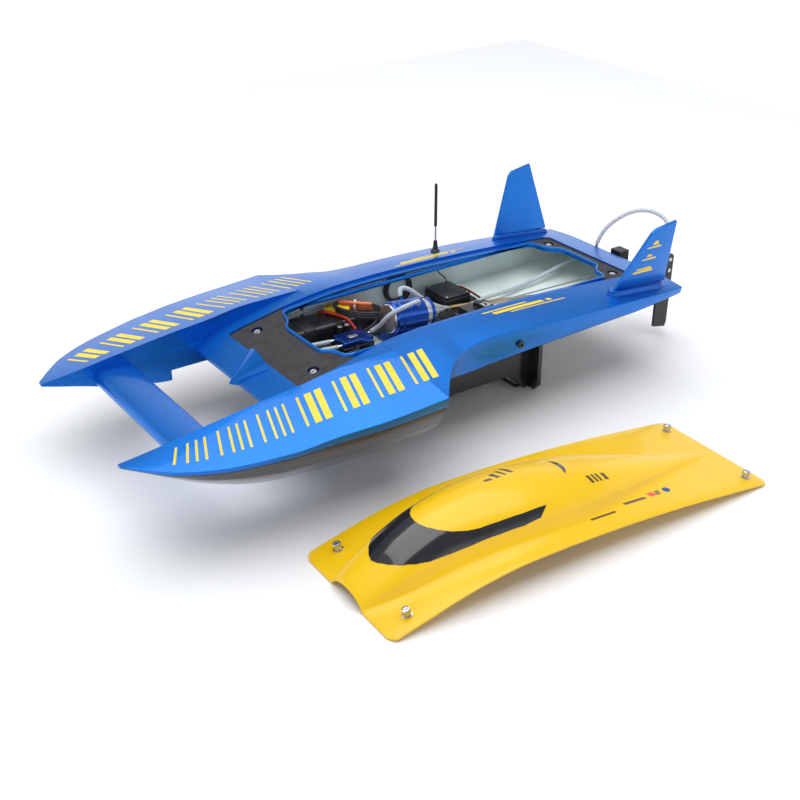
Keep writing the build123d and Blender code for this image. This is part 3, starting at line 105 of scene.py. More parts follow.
# ---------------------------------------------------------------- curves and outlines
def smooth_line(points):
    """A monotone cubic through (x, value) points, held level past its ends."""
    xs, ys = zip(*sorted(points))
    gaps = [b - a for a, b in zip(xs, xs[1:])]
    rises = [(b - a) / gap for a, b, gap in zip(ys, ys[1:], gaps)]
    slopes = [rises[0]]
    for left, right in zip(rises, rises[1:]):
        slopes.append(2 * left * right / (left + right) if left * right > 0 else 0.0)
    slopes.append(rises[-1])

    def value(x):
        x = min(max(x, xs[0]), xs[-1])
        i = max(j for j in range(len(gaps)) if xs[j] <= x)
        t = (x - xs[i]) / gaps[i]
        return (
            ys[i] * (1 + 2 * t) * (1 - t) ** 2
            + slopes[i] * gaps[i] * t * (1 - t) ** 2
            + ys[i + 1] * t * t * (3 - 2 * t)
            + slopes[i + 1] * gaps[i] * t * t * (t - 1)
        )

    return value


def columns(table):
    """One smooth line for each column of an offset table after the first."""
    return [smooth_line([(row[0], row[i]) for row in table]) for i in range(1, len(table[0]))]


deck_line = smooth_line(sorted({(row[0], row[1]) for row in AFTERBODY + POD}))
after = columns(AFTERBODY)
pod = columns(POD)
sponson = columns(SPONSON)


def shoulder(x):
    """Height of the afterbody's deck above the sponsons' inner walls."""
    slope = (after[0](x) - after[2](x)) / (after[1](x) - RECESS_HALF_WIDTH)
    plain = after[0](x) - slope * (INNER_WALL_Y - RECESS_HALF_WIDTH) * 0.75
    blend = min(max((x + 20.0) / 70.0, 0.0), 1.0)
    return plain + blend * (SPONSON[0][1] - 130.7)


def deck_height(x, y):
    """Height of the painted deck at (x, y), outside the cowl's recess."""
    y = abs(y)
    if x > SPONSON_END_X and y > INNER_WALL_Y:
        edge_y, inner, edge_z = sponson[1](x), sponson[0](x), sponson[2](x)
        return inner + (edge_z - inner) * (y - INNER_WALL_Y) / (edge_y - INNER_WALL_Y)
    if y < RECESS_HALF_WIDTH:
        return deck_line(x)
    if y < INNER_WALL_Y:
        share = (y - RECESS_HALF_WIDTH) / (INNER_WALL_Y - RECESS_HALF_WIDTH)
        return after[0](x) + share * (shoulder(x) - after[0](x))
    share = (y - INNER_WALL_Y) / (after[1](x) - INNER_WALL_Y)
    return shoulder(x) + share * (after[2](x) - shoulder(x))


def spread(start, end, step):
    """Evenly spaced values from start to end, about step apart."""
    count = max(1, round(abs(end - start) / step))
    return [start + (end - start) * i / count for i in range(count + 1)]


def rounded(points, radius, steps=2):
    """A closed outline with corners drawn as short curves of one radius or a list of them."""
    out = []
    for i, corner in enumerate(points):
        before, after_it = points[i - 1], points[(i + 1) % len(points)]
        size = radius[i] if isinstance(radius, (list, tuple)) else radius
        ends = []
        for other in (before, after_it):
            reach = hypot(other[0] - corner[0], other[1] - corner[1])
            share = min(size, 0.45 * reach) / reach if reach else 0
            ends.append([c + share * (o - c) for c, o in zip(corner, other)])
        for k in range(steps + 1):
            t = k / steps
            out.append(
                tuple(
                    a * (1 - t) ** 2 + 2 * c * t * (1 - t) + b * t * t
                    for a, c, b in zip(ends[0], corner, ends[1])
                )
            )
    return out


def pulled_in(before, corner, later, depth):
    """A corner moved inside both of its edges by depth, on an outline that runs clockwise."""
    normals = []
    for start, end in ((before, corner), (corner, later)):
        run = hypot(end[0] - start[0], end[1] - start[1])
        normals.append(((end[1] - start[1]) / run, (start[0] - end[0]) / run))
    (a, b), (c, d) = normals
    reach = depth / (1 + a * c + b * d)
    return (corner[0] + reach * (a + c), corner[1] + reach * (b + d))


def mirrored(half):
    """A closed outline from its port half."""
    return half + [(-y, z) for y, z in reversed(half)]


# ---------------------------------------------------------------- materials
def add_node(tree, kind, **settings):
    """A new shader node with its inputs set by name."""
    made = tree.nodes.new(kind)
    for key, value in settings.items():
        if hasattr(made, key):
            setattr(made, key, value)
        else:
            made.inputs[key.replace("_", " ")].default_value = value
    return made


def noise(tree, scale, detail=3.0, stretch=(1, 1, 1)):
    """Noise over the object's own coordinates, in features per metre."""
    place = add_node(tree, "ShaderNodeTexCoord")
    mapping = add_node(tree, "ShaderNodeMapping")
    mapping.inputs["Scale"].default_value = stretch
    tree.links.new(place.outputs["Object"], mapping.inputs["Vector"])
    made = add_node(tree, "ShaderNodeTexNoise", Scale=scale, Detail=detail)
    tree.links.new(mapping.outputs["Vector"], made.inputs["Vector"])
    return made


def tint(color, factor):
    return tuple(min(1.0, channel * factor) for channel in color[:3]) + (1.0,)


def finish_material(
    name,
    color,
    rough=0.4,
    metal=0.0,
    coat=0.0,
    vary=0.1,
    vary_scale=40.0,
    bump=0.05,
    bump_scale=900.0,
    stretch=(1, 1, 1),
    rough_vary=0.05,
    sub=0.0,
    clear=0.0,
    ior=1.45,
    flake=0.0,
    second=None,
):
    """A surface with mottled colour, uneven gloss and fine relief, all from noise."""
    mat = bpy.data.materials.new(name)
    mat.use_nodes = True
    tree = mat.node_tree
    shader = tree.nodes["Principled BSDF"]
    shader.inputs["Metallic"].default_value = metal
    shader.inputs["Coat Weight"].default_value = coat
    shader.inputs["Coat Roughness"].default_value = 0.04
    shader.inputs["Subsurface Weight"].default_value = sub
    shader.inputs["Transmission Weight"].default_value = clear
    shader.inputs["IOR"].default_value = ior

    mottle = noise(tree, vary_scale, stretch=stretch)
    ramp = add_node(tree, "ShaderNodeValToRGB")
    ramp.color_ramp.elements[0].position = 0.3
    ramp.color_ramp.elements[1].position = 0.7
    ramp.color_ramp.elements[0].color = tint(color, 1 - vary)
    ramp.color_ramp.elements[1].color = tint(second or color, 1 + vary)
    tree.links.new(mottle.outputs["Fac"], ramp.inputs["Fac"])
    painted = ramp.outputs["Color"]
    if flake:
        cells = add_node(tree, "ShaderNodeTexVoronoi", Scale=2600.0)
        place = add_node(tree, "ShaderNodeTexCoord")
        tree.links.new(place.outputs["Object"], cells.inputs["Vector"])
        spark = add_node(tree, "ShaderNodeMapRange")
        spark.inputs["To Min"].default_value = 1 - flake
        spark.inputs["To Max"].default_value = 1 + flake
        split = add_node(tree, "ShaderNodeSeparateColor")
        tree.links.new(cells.outputs["Color"], split.inputs["Color"])
        tree.links.new(split.outputs["Red"], spark.inputs["Value"])
        scale = add_node(tree, "ShaderNodeVectorMath", operation="SCALE")
        tree.links.new(painted, scale.inputs[0])
        tree.links.new(spark.outputs["Result"], scale.inputs["Scale"])
        painted = scale.outputs["Vector"]
    tree.links.new(painted, shader.inputs["Base Color"])

    gloss = noise(tree, vary_scale * 2.3, stretch=stretch)
    span = add_node(tree, "ShaderNodeMapRange")
    span.inputs["To Min"].default_value = max(0.02, rough - rough_vary)
    span.inputs["To Max"].default_value = rough + rough_vary
    tree.links.new(gloss.outputs["Fac"], span.inputs["Value"])
    tree.links.new(span.outputs["Result"], shader.inputs["Roughness"])

    if bump:
        grain = noise(tree, bump_scale, detail=2.0, stretch=stretch)
        relief = add_node(tree, "ShaderNodeBump", Strength=bump, Distance=0.0003)
        tree.links.new(grain.outputs["Fac"], relief.inputs["Height"])
        tree.links.new(relief.outputs["Normal"], shader.inputs["Normal"])
    return mat


BLUE = (0.003, 0.165, 0.62)
MATS = {
    "deck_blue": finish_material(
        "deck_blue", BLUE, rough=0.36, metal=0.8, coat=0.3, vary=0.05, vary_scale=7,
        bump=0.02, bump_scale=260, flake=0.3,
    ),
    "bottom_dark": finish_material(
        "bottom_dark", (0.028, 0.022, 0.02), rough=0.22, coat=0.8, vary=0.2, vary_scale=12,
        bump=0.02, bump_scale=200,
    ),
    "gelcoat": finish_material(
        "gelcoat", (0.70, 0.79, 0.76), rough=0.42, coat=0.25, vary=0.08, vary_scale=22,
        bump=0.15, bump_scale=160,
    ),
    "cowl_yellow": finish_material(
        "cowl_yellow", (0.90, 0.55, 0.001), rough=0.34, coat=0.22, vary=0.03, vary_scale=9,
        bump=0.02, bump_scale=220, sub=0.0,
    ),
    "visor_black": finish_material(
        "visor_black", (0.012, 0.012, 0.013), rough=0.2, coat=1.0, vary=0.5, vary_scale=30,
        bump=0.02, bump_scale=300,
    ),
    "stripe_yellow": finish_material(
        "stripe_yellow", (0.93, 0.66, 0.006), rough=0.4, coat=0.3, vary=0.05, vary_scale=60,
        bump=0.02, bump_scale=400,
    ),
    "mark_dark": finish_material(
        "mark_dark", (0.10, 0.05, 0.02), rough=0.3, coat=0.9, vary=0.2, bump=0.02,
    ),
    "mark_red": finish_material(
        "mark_red", (0.75, 0.05, 0.01), rough=0.3, coat=0.9, vary=0.1, bump=0.02,
    ),
    "stand_black": finish_material(
        "stand_black", (0.012, 0.012, 0.013), rough=0.22, coat=0.5, vary=0.3, vary_scale=30,
        bump=0.03, bump_scale=500,
    ),
    "foam_black": finish_material(
        "foam_black", (0.02, 0.02, 0.02), rough=0.9, vary=0.3, bump=0.6, bump_scale=2200,
    ),
    "gasket_black": finish_material(
        "gasket_black", (0.035, 0.034, 0.036), rough=0.75, vary=0.25, vary_scale=90,
        bump=0.35, bump_scale=1800,
    ),
    "fitting_black": finish_material(
        "fitting_black", (0.018, 0.018, 0.02), rough=0.38, vary=0.2, bump=0.12,
        bump_scale=1500,
    ),
    "tray_black": finish_material(
        "tray_black", (0.02, 0.02, 0.022), rough=0.5, vary=0.2, bump=0.2, bump_scale=1200,
    ),
    "case_black": finish_material(
        "case_black", (0.014, 0.014, 0.016), rough=0.3, coat=0.2, vary=0.2, bump=0.08,
        bump_scale=1300,
    ),
    "receiver_grey": finish_material(
        "receiver_grey", (0.016, 0.016, 0.018), rough=0.36, coat=0.15, vary=0.25, bump=0.1,
        bump_scale=1200,
    ),
    "steel": finish_material(
        "steel", (0.62, 0.61, 0.60), rough=0.24, metal=1.0, vary=0.08, vary_scale=120,
        bump=0.12, bump_scale=500, stretch=(1, 1, 9),
    ),
    "aluminium": finish_material(
        "aluminium", (0.74, 0.75, 0.77), rough=0.3, metal=1.0, vary=0.05, vary_scale=80,
        bump=0.1, bump_scale=900, stretch=(7, 1, 1),
    ),
    "jacket_blue": finish_material(
        "jacket_blue", (0.012, 0.10, 0.55), rough=0.24, metal=0.9, coat=0.5, vary=0.08,
        vary_scale=60, bump=0.08, bump_scale=700, stretch=(9, 1, 1),
    ),
    "brass": finish_material(
        "brass", (0.72, 0.52, 0.22), rough=0.3, metal=1.0, vary=0.12, vary_scale=70,
        bump=0.1, bump_scale=800,
    ),
    "winding": finish_material(
        "winding", (0.42, 0.2, 0.08), rough=0.35, metal=0.6, vary=0.3, vary_scale=300,
        bump=0.5, bump_scale=1500, stretch=(1, 6, 6),
    ),
    "silicone_clear": finish_material(
        "silicone_clear", (0.62, 0.67, 0.74), rough=0.26, coat=0.35, vary=0.06,
        vary_scale=90, bump=0.03, sub=0.25, clear=0.25, ior=1.41,
    ),
    "boot_rubber": finish_material(
        "boot_rubber", (0.02, 0.02, 0.02), rough=0.6, vary=0.2, bump=0.15, bump_scale=1400,
    ),
    "wire_black": finish_material(
        "wire_black", (0.018, 0.018, 0.02), rough=0.4, coat=0.1, vary=0.2, bump=0.05,
    ),
    "wire_red": finish_material(
        "wire_red", (0.55, 0.02, 0.012), rough=0.4, coat=0.15, vary=0.12, bump=0.05,
    ),
    "wire_white": finish_material(
        "wire_white", (0.80, 0.76, 0.75), rough=0.45, vary=0.05, bump=0.05,
    ),
    "sleeve_orange": finish_material(
        "sleeve_orange", (0.85, 0.14, 0.03), rough=0.35, coat=0.3, vary=0.2, vary_scale=110,
        second=(0.9, 0.25, 0.1), bump=0.1,
    ),
    "plug_yellow": finish_material(
        "plug_yellow", (0.85, 0.6, 0.03), rough=0.4, vary=0.08, bump=0.08, sub=0.05,
    ),
    "prop_metal": finish_material(
        "prop_metal", (0.78, 0.66, 0.45), rough=0.2, metal=1.0, vary=0.08, vary_scale=90,
        bump=0.06, bump_scale=600,
    ),
    "battery_black": finish_material(
        "battery_black", (0.015, 0.015, 0.017), rough=0.34, coat=0.3, vary=0.3,
        vary_scale=50, bump=0.15, bump_scale=300,
    ),
    # painted shade: a much darker copy of the deck blue, laid in the small dishes round the thumb-screw sockets
    "socket_painted_shade": finish_material(
        "socket_painted_shade", (0.004, 0.02, 0.13), rough=0.3, metal=0.4, coat=0.8, vary=0.1, bump=0.02,
    ),
    # a darker copy of the deck blue: painted shade on the fin feet where the fins meet the deck, and the printed
    # colour of the small disc on the cowl
    "fin_foot_shade_and_disc_blue": finish_material(
        "fin_foot_shade_and_disc_blue", (0.003, 0.10, 0.45), rough=0.34, metal=0.8, coat=0.3, vary=0.08,
        vary_scale=9, bump=0.02, bump_scale=260, flake=0.3,
    ),
}
slot_of = {row["node"]: row["material_slot"] for row in frame["record"]["subparts"]}
for name, node in nodes.items():
    node.data.materials.clear()
    node.data.materials.append(MATS[slot_of[name]])


# ---------------------------------------------------------------- mesh helpers
def new_object(name, verts, faces, mats=(), crease=32.0):
    """A mesh object from points in millimetres, smooth up to the crease angle."""
    mesh = bpy.data.meshes.new(name)
    mesh.from_pydata([(x * MM, y * MM, z * MM) for x, y, z in verts], [], faces)
    mesh.validate()
    made = bpy.data.objects.new(name, mesh)
    bpy.context.scene.collection.objects.link(made)
    for mat in mats:
        mesh.materials.append(MATS[mat])
    tidy(made, crease)
    return made


def tidy(piece, crease=32.0):
    """Outward normals, and smooth shading up to the crease angle."""
    work = bmesh.new()
    work.from_mesh(piece.data)
    bmesh.ops.remove_doubles(work, verts=work.verts, dist=1e-7)
    bmesh.ops.recalc_face_normals(work, faces=work.faces)
    work.to_mesh(piece.data)
    work.free()
    for face in piece.data.polygons:
        face.use_smooth = True
    piece.data.set_sharp_from_angle(angle=radians(crease))


def loft(name, rings, mats=(), crease=32.0):
    """A closed solid through rings of equal length."""
    count = len(rings[0])
    verts = [point for ring in rings for point in ring]
    faces = []
    for i in range(len(rings) - 1):
        for j in range(count):
            k = (j + 1) % count
            faces.append((i * count + j, i * count + k, (i + 1) * count + k, (i + 1) * count + j))
    faces.append(tuple(range(count)))
    faces.append(tuple((len(rings) - 1) * count + j for j in range(count)))
    return new_object(name, verts, faces, mats, crease)


def prism(name, outline, low, high, mats=(), crease=32.0):
    """A closed upright prism over a plan outline."""
    return loft(name, [[(x, y, z) for x, y in outline] for z in (low, high)], mats, crease)


def bake(piece):
    """Applies a piece's modifiers."""
    graph = bpy.context.evaluated_depsgraph_get()
    mesh = bpy.data.meshes.new_from_object(piece.evaluated_get(graph))
    piece.modifiers.clear()
    piece.data = mesh
    return piece


def combine(target, tool, how="DIFFERENCE", keep=False):
    """Joins, cuts or keeps what target and tool share. The cut takes the tool's material."""
    cut = target.modifiers.new("cut", "BOOLEAN")
    cut.operation = how
    cut.solver = "EXACT"
    cut.material_mode = "TRANSFER"
    cut.object = tool
    bake(target)
    if not keep:
        bpy.data.objects.remove(tool)
    return target


def soften(piece, width, segments=2, angle=35.0):
    """Rounds a piece's sharp edges."""
    edge = piece.modifiers.new("round", "BEVEL")
    edge.width = width * MM
    edge.segments = segments
    edge.limit_method = "ANGLE"
    edge.angle_limit = radians(angle)
    edge.harden_normals = False
    bake(piece)
    tidy(piece, 42.0)
    return piece


def place(piece, body, slot, *replaced):
    """Rides on a body and stands for CAD nodes. The slot argument is not used."""
    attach(piece, body)
    if replaced:
        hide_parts(*replaced)
    return piece


def turned(name, profile, origin, direction=(0, 0, 1), mats=(), segments=48, crease=32.0, ripple=None):
    """A turned shape: (radius, height) pairs about an axis; ripple(height) is a knurl's depth."""
    axis = Vector(direction).normalized()
    side = axis.orthogonal().normalized()
    other = axis.cross(side)
    rings = []
    for radius, height in profile:
        ring = []
        for k in range(segments):
            angle = 2 * pi * k / segments
            reach = max(radius, 0.01)
            if ripple:
                reach += ripple(height) * (k % 2)
            point = Vector(origin) + axis * height + reach * (side * cos(angle) + other * sin(angle))
            ring.append(tuple(point))
        rings.append(ring)
    return loft(name, rings, mats, crease)


def box(name, low, high, mats=(), round_edges=0.6):
    """A box between two corners with rounded edges."""
    x0, y0, z0 = low
    x1, y1, z1 = high
    made = prism(name, [(x0, y0), (x1, y0), (x1, y1), (x0, y1)], z0, z1, mats)
    return soften(made, round_edges, 3) if round_edges else made


def join(name, *pieces):
    """One object from several."""
    bpy.ops.object.select_all(action="DESELECT")
    for piece in pieces:
        piece.select_set(True)
    bpy.context.view_layer.objects.active = pieces[0]
    bpy.ops.object.join()
    pieces[0].name = name
    pieces[0].data.name = name
    return pieces[0]


def cord_curve(name, route, radius, mat, offset=(0, 0, 0)):
    """A round cord as a smooth spline with the route's points as its control points."""
    curve = bpy.data.curves.new(name, "CURVE")
    curve.dimensions = "3D"
    curve.bevel_depth = radius * MM
    curve.bevel_resolution = 5
    curve.resolution_u = 14
    curve.use_fill_caps = True
    line = curve.splines.new("NURBS")
    line.points.add(len(route) - 1)
    for point, spot in zip(line.points, route):
        point.co = (*[(c + o) * MM for c, o in zip(spot, offset)], 1.0)
    line.order_u = 3
    line.use_endpoint_u = True
    curve.materials.append(MATS[mat])
    made = bpy.data.objects.new(name, curve)
    bpy.context.scene.collection.objects.link(made)
    return made


def decal(name, outline, height, mat, lift=0.22, cell=3.0, to_world=None):
    """A thin painted patch over a surface height(x, y), both in the patch's own plan."""
    work = bmesh.new()
    work.faces.new([work.verts.new((x, y, 0)) for x, y in outline])
    for axis in (0, 1):
        values = [point[axis] for point in outline]
        for cut in spread(min(values), max(values), cell)[1:-1]:
            normal = (1, 0, 0) if axis == 0 else (0, 1, 0)
            spot = tuple(cut * n for n in normal)
            everything = work.verts[:] + work.edges[:] + work.faces[:]
            bmesh.ops.bisect_plane(work, geom=everything, plane_co=spot, plane_no=normal)
    bmesh.ops.triangulate(work, faces=[f for f in work.faces if len(f.verts) > 4])
    count = len(work.verts)
    work.verts.index_update()
    plan = [(v.co.x, v.co.y) for v in work.verts]
    turn = to_world or (lambda x, y, z: (x, y, z))

    def lifted(x, y, by):
        rise_x = (height(x + 0.2, y) - height(x - 0.2, y)) / 0.4
        rise_y = (height(x, y + 0.2) - height(x, y - 0.2)) / 0.4
        share = by / sqrt(1 + rise_x**2 + rise_y**2)
        return turn(x - rise_x * share, y - rise_y * share, height(x, y) + share)

    verts = [lifted(x, y, lift) for x, y in plan]
    verts += [lifted(x, y, -0.05) for x, y in plan]
    faces = [tuple(v.index for v in f.verts) for f in work.faces]
    closed = list(faces) + [tuple(count + i for i in reversed(f)) for f in faces]
    for edge in work.edges:
        if len(edge.link_faces) == 1:
            a, b = (v.index for v in edge.verts)
            closed.append((a, b, count + b, count + a))
    work.free()
    return new_object(name, verts, closed, (mat,), 40.0)


# ---------------------------------------------------------------- hull mouldings
def halves(x, port, corner=1.2):
    """A ring at x from its port half, with rounded corners."""
    return [(x, y, z) for y, z in rounded(mirrored(port), corner)]


def side_points(x):
    """The afterbody's shoulder, deck edge, side foot and bottom corner at x."""
    edge_y, foot_z = after[1](x), after[3](x)
    foot = (min(edge_y - 2.0, SIDE_FOOT_Y), foot_z)
    return (INNER_WALL_Y, shoulder(x)), (edge_y, after[2](x)), foot, (BOTTOM_HALF_WIDTH, after[4](x))


def centre_ring(x):
    """A ring of the deck between the inner walls."""
    lap = INNER_WALL_Y + 1.0
    if x < SPONSON_END_X:
        near = shoulder(x)
        half = [(RECESS_HALF_WIDTH, after[0](x)), (INNER_WALL_Y, near), (lap, near - 2.0)]
        half.append((lap, after[3](x)))
    else:
        top = pod[0](x)
        seam = min(max(pod[1](x) + 1.0, 92.6), top - 1.0)
        half = [(RECESS_HALF_WIDTH, top), (INNER_WALL_Y, top), (lap, top), (lap, seam)]
    return [(x, y, z) for y, z in mirrored(half)]


def outer_ring(x, side):
    """A ring of the deck outside an inner wall, all the way from the stern to the bow."""
    if x < SPONSON_END_X:
        near, edge, foot, _ = side_points(x)
        outline = [near, edge, foot, (INNER_WALL_Y, foot[1])]
    else:
        c = [column(x) for column in sponson]
        outline = [(INNER_WALL_Y, c[0]), (c[1], c[2]), (c[3], c[4]), (INNER_WALL_Y, c[4])]
    return [(x, side * y, z) for y, z in rounded(outline, [0.0, 1.6, 1.6, 0.0], 3)]


def bottom_ring(x):
    _, _, foot, floor = side_points(x)
    return halves(x, [foot, floor])


def pod_bottom_ring(x):
    half = INNER_WALL_Y + 1.0
    seam = min(max(pod[1](x) + 1.0, 92.6), pod[0](x) - 1.0)
    return halves(x, [(half, seam), (half, pod[1](x))])


def sponson_bottom_ring(x, side):
    c = [column(x) for column in sponson]
    outline = [(INNER_WALL_Y, c[4]), (c[3], c[4]), (c[5], c[6]), (c[7], c[8])]
    low = c[9] if not 224.0 < x < 228.0 else (74.0 if x < 226.0 else 61.0)
    outline.append((INNER_WALL_Y, low))
    return [(x, side * y, z) for y, z in rounded(outline, 1.4)]


def bay_ring(x):
    near, edge, foot, floor = side_points(x)
    drop = WALL + HATCH_DROP
    half = [
        (RECESS_HALF_WIDTH + WALL, after[0](x) - drop),
        (INNER_WALL_Y, near[1] - drop),
        pulled_in(near, edge, foot, WALL),
        pulled_in(edge, foot, floor, WALL),
        (BOTTOM_HALF_WIDTH, floor[1] + 1.1 * WALL),
    ]
    return halves(x, half, 2.0)


def pod_bay_ring(x):
    return halves(x, [(100.0, pod[0](x) - 6.0), (100.0, pod[1](x) + 3.0)], 3.0)


STEP = 0.01
after_x = spread(STERN_X, -60.0, 9.0) + spread(-60.0, SPONSON_END_X - STEP, 4.0)[1:]
pod_x = spread(SPONSON_END_X + STEP, 194.0, 6.0)
outer_x = after_x + [SPONSON_END_X + STEP] + spread(53.0, BOW_X, 4.5)
sponson_x = [SPONSON_END_X - 0.6] + spread(51.0, 224.0, 6.0) + [225.99, 226.01]
sponson_x += spread(228.0, BOW_X, 4.5)


def deck_half():
    """The deck moulding, solid."""
    made = loft("deck", [centre_ring(x) for x in after_x + pod_x], ("deck_blue",))
    for side in (1, -1):
        combine(made, loft("outer", [outer_ring(x, side) for x in outer_x], ("deck_blue",)), "UNION")
    return made


def bottom_half():
    """The bottom moulding, solid."""
    made = loft("bottom", [bottom_ring(x) for x in after_x], ("bottom_dark",))
    wide_x = [SPONSON_END_X - 1.0] + pod_x
    combine(made, loft("pod", [pod_bottom_ring(x) for x in wide_x], ("bottom_dark",)), "UNION")
    for side in (1, -1):
        rings = [sponson_bottom_ring(x, side) for x in sponson_x]
        combine(made, loft("sponson", rings, ("bottom_dark",)), "UNION")
    return made


bay_x = spread(STERN_X + WALL, SPONSON_END_X, 9.0)
bay_tool = loft("bay", [bay_ring(x) for x in bay_x], ("gelcoat",))
pod_bay = loft("pod_bay", [pod_bay_ring(x) for x in spread(40.0, 176.0, 8.0)], ("gelcoat",))
combine(bay_tool, pod_bay, "UNION")

opening = rounded(OPENING + [(x, -y) for x, y in reversed(OPENING)], 9.0, 5)


def grown(outline, amount):
    """A closed outline moved outward, with its point normals."""
    out = []
    for i, (x, y) in enumerate(outline):
        before, later = outline[i - 1], outline[(i + 1) % len(outline)]
        run = Vector((later[0] - before[0], later[1] - before[1])).normalized()
        out.append((x - run.y * amount, y + run.x * amount))
    return out


area = sum(a[0] * b[1] - b[0] * a[1] for a, b in zip(opening, opening[1:] + opening[:1]))
OUTWARD = -1.0 if area > 0 else 1.0


def recess_block(name, floor, top, mat, inset=0.0):
    """A block over the cowl's recess whose underside follows the deck."""
    half = RECESS_HALF_WIDTH - inset
    rings = []
    for x in spread(RECESS_REAR_X + inset, RECESS_FRONT_X - inset, 8.0):
        low = deck_line(x) + floor
        high = top if top > 50 else deck_line(x) + top
        rings.append([(x, half, low), (x, -half, low), (x, -half, high), (x, half, high)])
    made = loft(name, rings, (mat,))
    corners = [(RECESS_REAR_X + inset, half), (RECESS_FRONT_X - inset, half)]
    corners += [(RECESS_FRONT_X - inset, -half), (RECESS_REAR_X + inset, -half)]
    combine(made, prism("corners", rounded(corners, 7.0, 4), 60, 200, (mat,)), "INTERSECT")
    return made


deck = deck_half()
deck.name = "hull_deck_moulding"
combine(deck, bay_tool, keep=True)
combine(deck, recess_block("recess", -HATCH_DROP, 190.0, "deck_blue"))
combine(deck, prism("hatch", opening, 60, 200, ("deck_blue",)))
# the dishes are cut in the dark socket blue, which is painted shade in these pits
for x, y in SOCKETS:
    combine(deck, turned("dish", [(7.2, -1.6), (7.2, 30)], (x, y, deck_line(x) - HATCH_DROP),
                         mats=("socket_painted_shade",)))
tidy(deck, 28.0)
place(deck, "hull", "deck_blue", "hull_deck")

bottom = bottom_half()
bottom.name = "hull_bottom_moulding"
combine(bottom, bay_tool)
bottom.data.materials.append(MATS["deck_blue"])
blue_index = len(bottom.data.materials) - 1
for face in bottom.data.polygons:
    spot = face.center / MM
    tunnel_wall = spot.x > SPONSON_END_X and abs(spot.y) < INNER_WALL_Y + 0.6
    outside = face.material_index == 0
    if outside and tunnel_wall and (abs(face.normal.y) > 0.8 or spot.x > 160.0):
        face.material_index = blue_index
tidy(bottom, 28.0)
place(bottom, "hull", "bottom_dark", "hull_bottom")

# inner side walls of the equipment bay
panels = []
for side in (1, -1):
    rings = []
    for x in spread(STERN_X + 4, 46.0, 12.0):
        low, high = after[4](x) + 3.0, after[0](x) - 6.4
        rings.append([(x, side * 98.0, low), (x, side * 99.4, low), (x, side * 99.4, high),
                      (x, side * 98.0, high)])
    panels.append(loft("side_bulkhead", rings, ("gelcoat",)))
place(join("side_bulkheads", *panels), "hull", "bottom_dark")

# coaming: a rounded lip round the opening
lip = [(0, -4.0), (LIP_WIDTH, -4.0), (LIP_WIDTH, 0.2), (2.2, 1.2), (0.8, 1.2), (0, 0.2)]
rings = []
edges = {out: grown(opening, OUTWARD * out) for out in {out for out, up in lip}}
for i in range(len(opening)):
    ring = []
    for out, up in lip:
        x, y = edges[out][i]
        ring.append((x, y, deck_line(x) + up))
    rings.append(ring)
count = len(lip)
verts = [point for ring in rings for point in ring]
faces = []
for i in range(len(rings)):
    following = (i + 1) % len(rings)
    for j in range(count):
        k = (j + 1) % count
        faces.append((i * count + j, i * count + k, following * count + k, following * count + j))
coaming = new_object("hatch_lip", verts, faces, ("deck_blue",), 50.0)
place(coaming, "hull", "deck_blue", "hatch_coaming")

gasket = recess_block("hatch_gasket_sheet", -HATCH_DROP, -HATCH_DROP + 1.2, "gasket_black", 0.6)
combine(gasket, prism("hatch", grown(opening, OUTWARD * (LIP_WIDTH + 0.1)), 60, 200,
                      ("gasket_black",)))
combine(gasket, prism("middle", [(-294, -90), (86, -90), (86, 90), (-294, 90)], 60, 200,
                      ("gasket_black",)))
for x, y in SOCKETS:
    combine(gasket, turned("dish", [(7.2, -6), (7.2, 30)], (x, y, deck_line(x)),
                           mats=("gasket_black",)))
tidy(gasket, 28.0)
place(gasket, "hull", "gasket_black", "hatch_gasket")

inserts = []
for x, y in SOCKETS:
    profile = [(1.6, -9), (3.4, -9), (3.4, -1.5), (4.3, -1.5), (4.3, -0.5), (3.7, 0.2), (2.2, 0.4),
               (1.6, -0.1), (1.6, -8.9)]
    slope = (deck_line(x + 4) - deck_line(x - 4)) / 8
    inserts.append(turned("insert", profile, (x, y, deck_line(x) - HATCH_DROP), (-slope, 0, 1),
                          ("steel",), 32))
place(join("hatch_insert_bushes", *inserts), "hull", "steel", "hatch_inserts")

# ---------------------------------------------------------------- wing, fins, nose
WING = [(273.0, 96.5), (285.0, 98.6), (300.0, 99.9), (312.0, 99.6), (319.0, 96.5), (322.0, 90.5),
        (320.0, 85.2), (313.0, 81.6), (300.0, 83.8), (286.0, 88.8), (273.0, 94.5)]
wing_rings = []
for y in (-INNER_WALL_Y - 1, -INNER_WALL_Y + 4, 0, INNER_WALL_Y - 4, INNER_WALL_Y + 1):
    wing_rings.append([(x, y, z) for x, z in rounded(WING, 4.0, 3)])
place(loft("wing_panel", wing_rings, ("deck_blue",), 50.0), "hull", "deck_blue", "front_wing")

FIN_FOOT = (-268.0, 114.0, 130.0)
FIN_LEAN = radians(15.0)
FIN_OUTLINE = [(0, -1), (92, -7), (77, 86), (44, 81), (38, 76)]
FIN_THICKNESS = 3.6


def fin_point(side, along, up, out):
    """A point on a fin, along its foot aft, up its face and out through it."""
    return (
        FIN_FOOT[0] - along,
        side * (FIN_FOOT[1] + up * sin(FIN_LEAN) + out * cos(FIN_LEAN)),
        FIN_FOOT[2] + up * cos(FIN_LEAN) - out * sin(FIN_LEAN),
    )


fins = []
for side in (1, -1):
    outline = rounded(FIN_OUTLINE, 1.5, 2)
    rings = [[fin_point(side, a, u, out) for a, u in outline] for out in (0.0, FIN_THICKNESS)]
    fins.append(soften(loft("fin", rings, ("deck_blue",)), 0.9, 3))
place(join("tail_fin_plates", *fins), "hull", "deck_blue", "tail_fins")
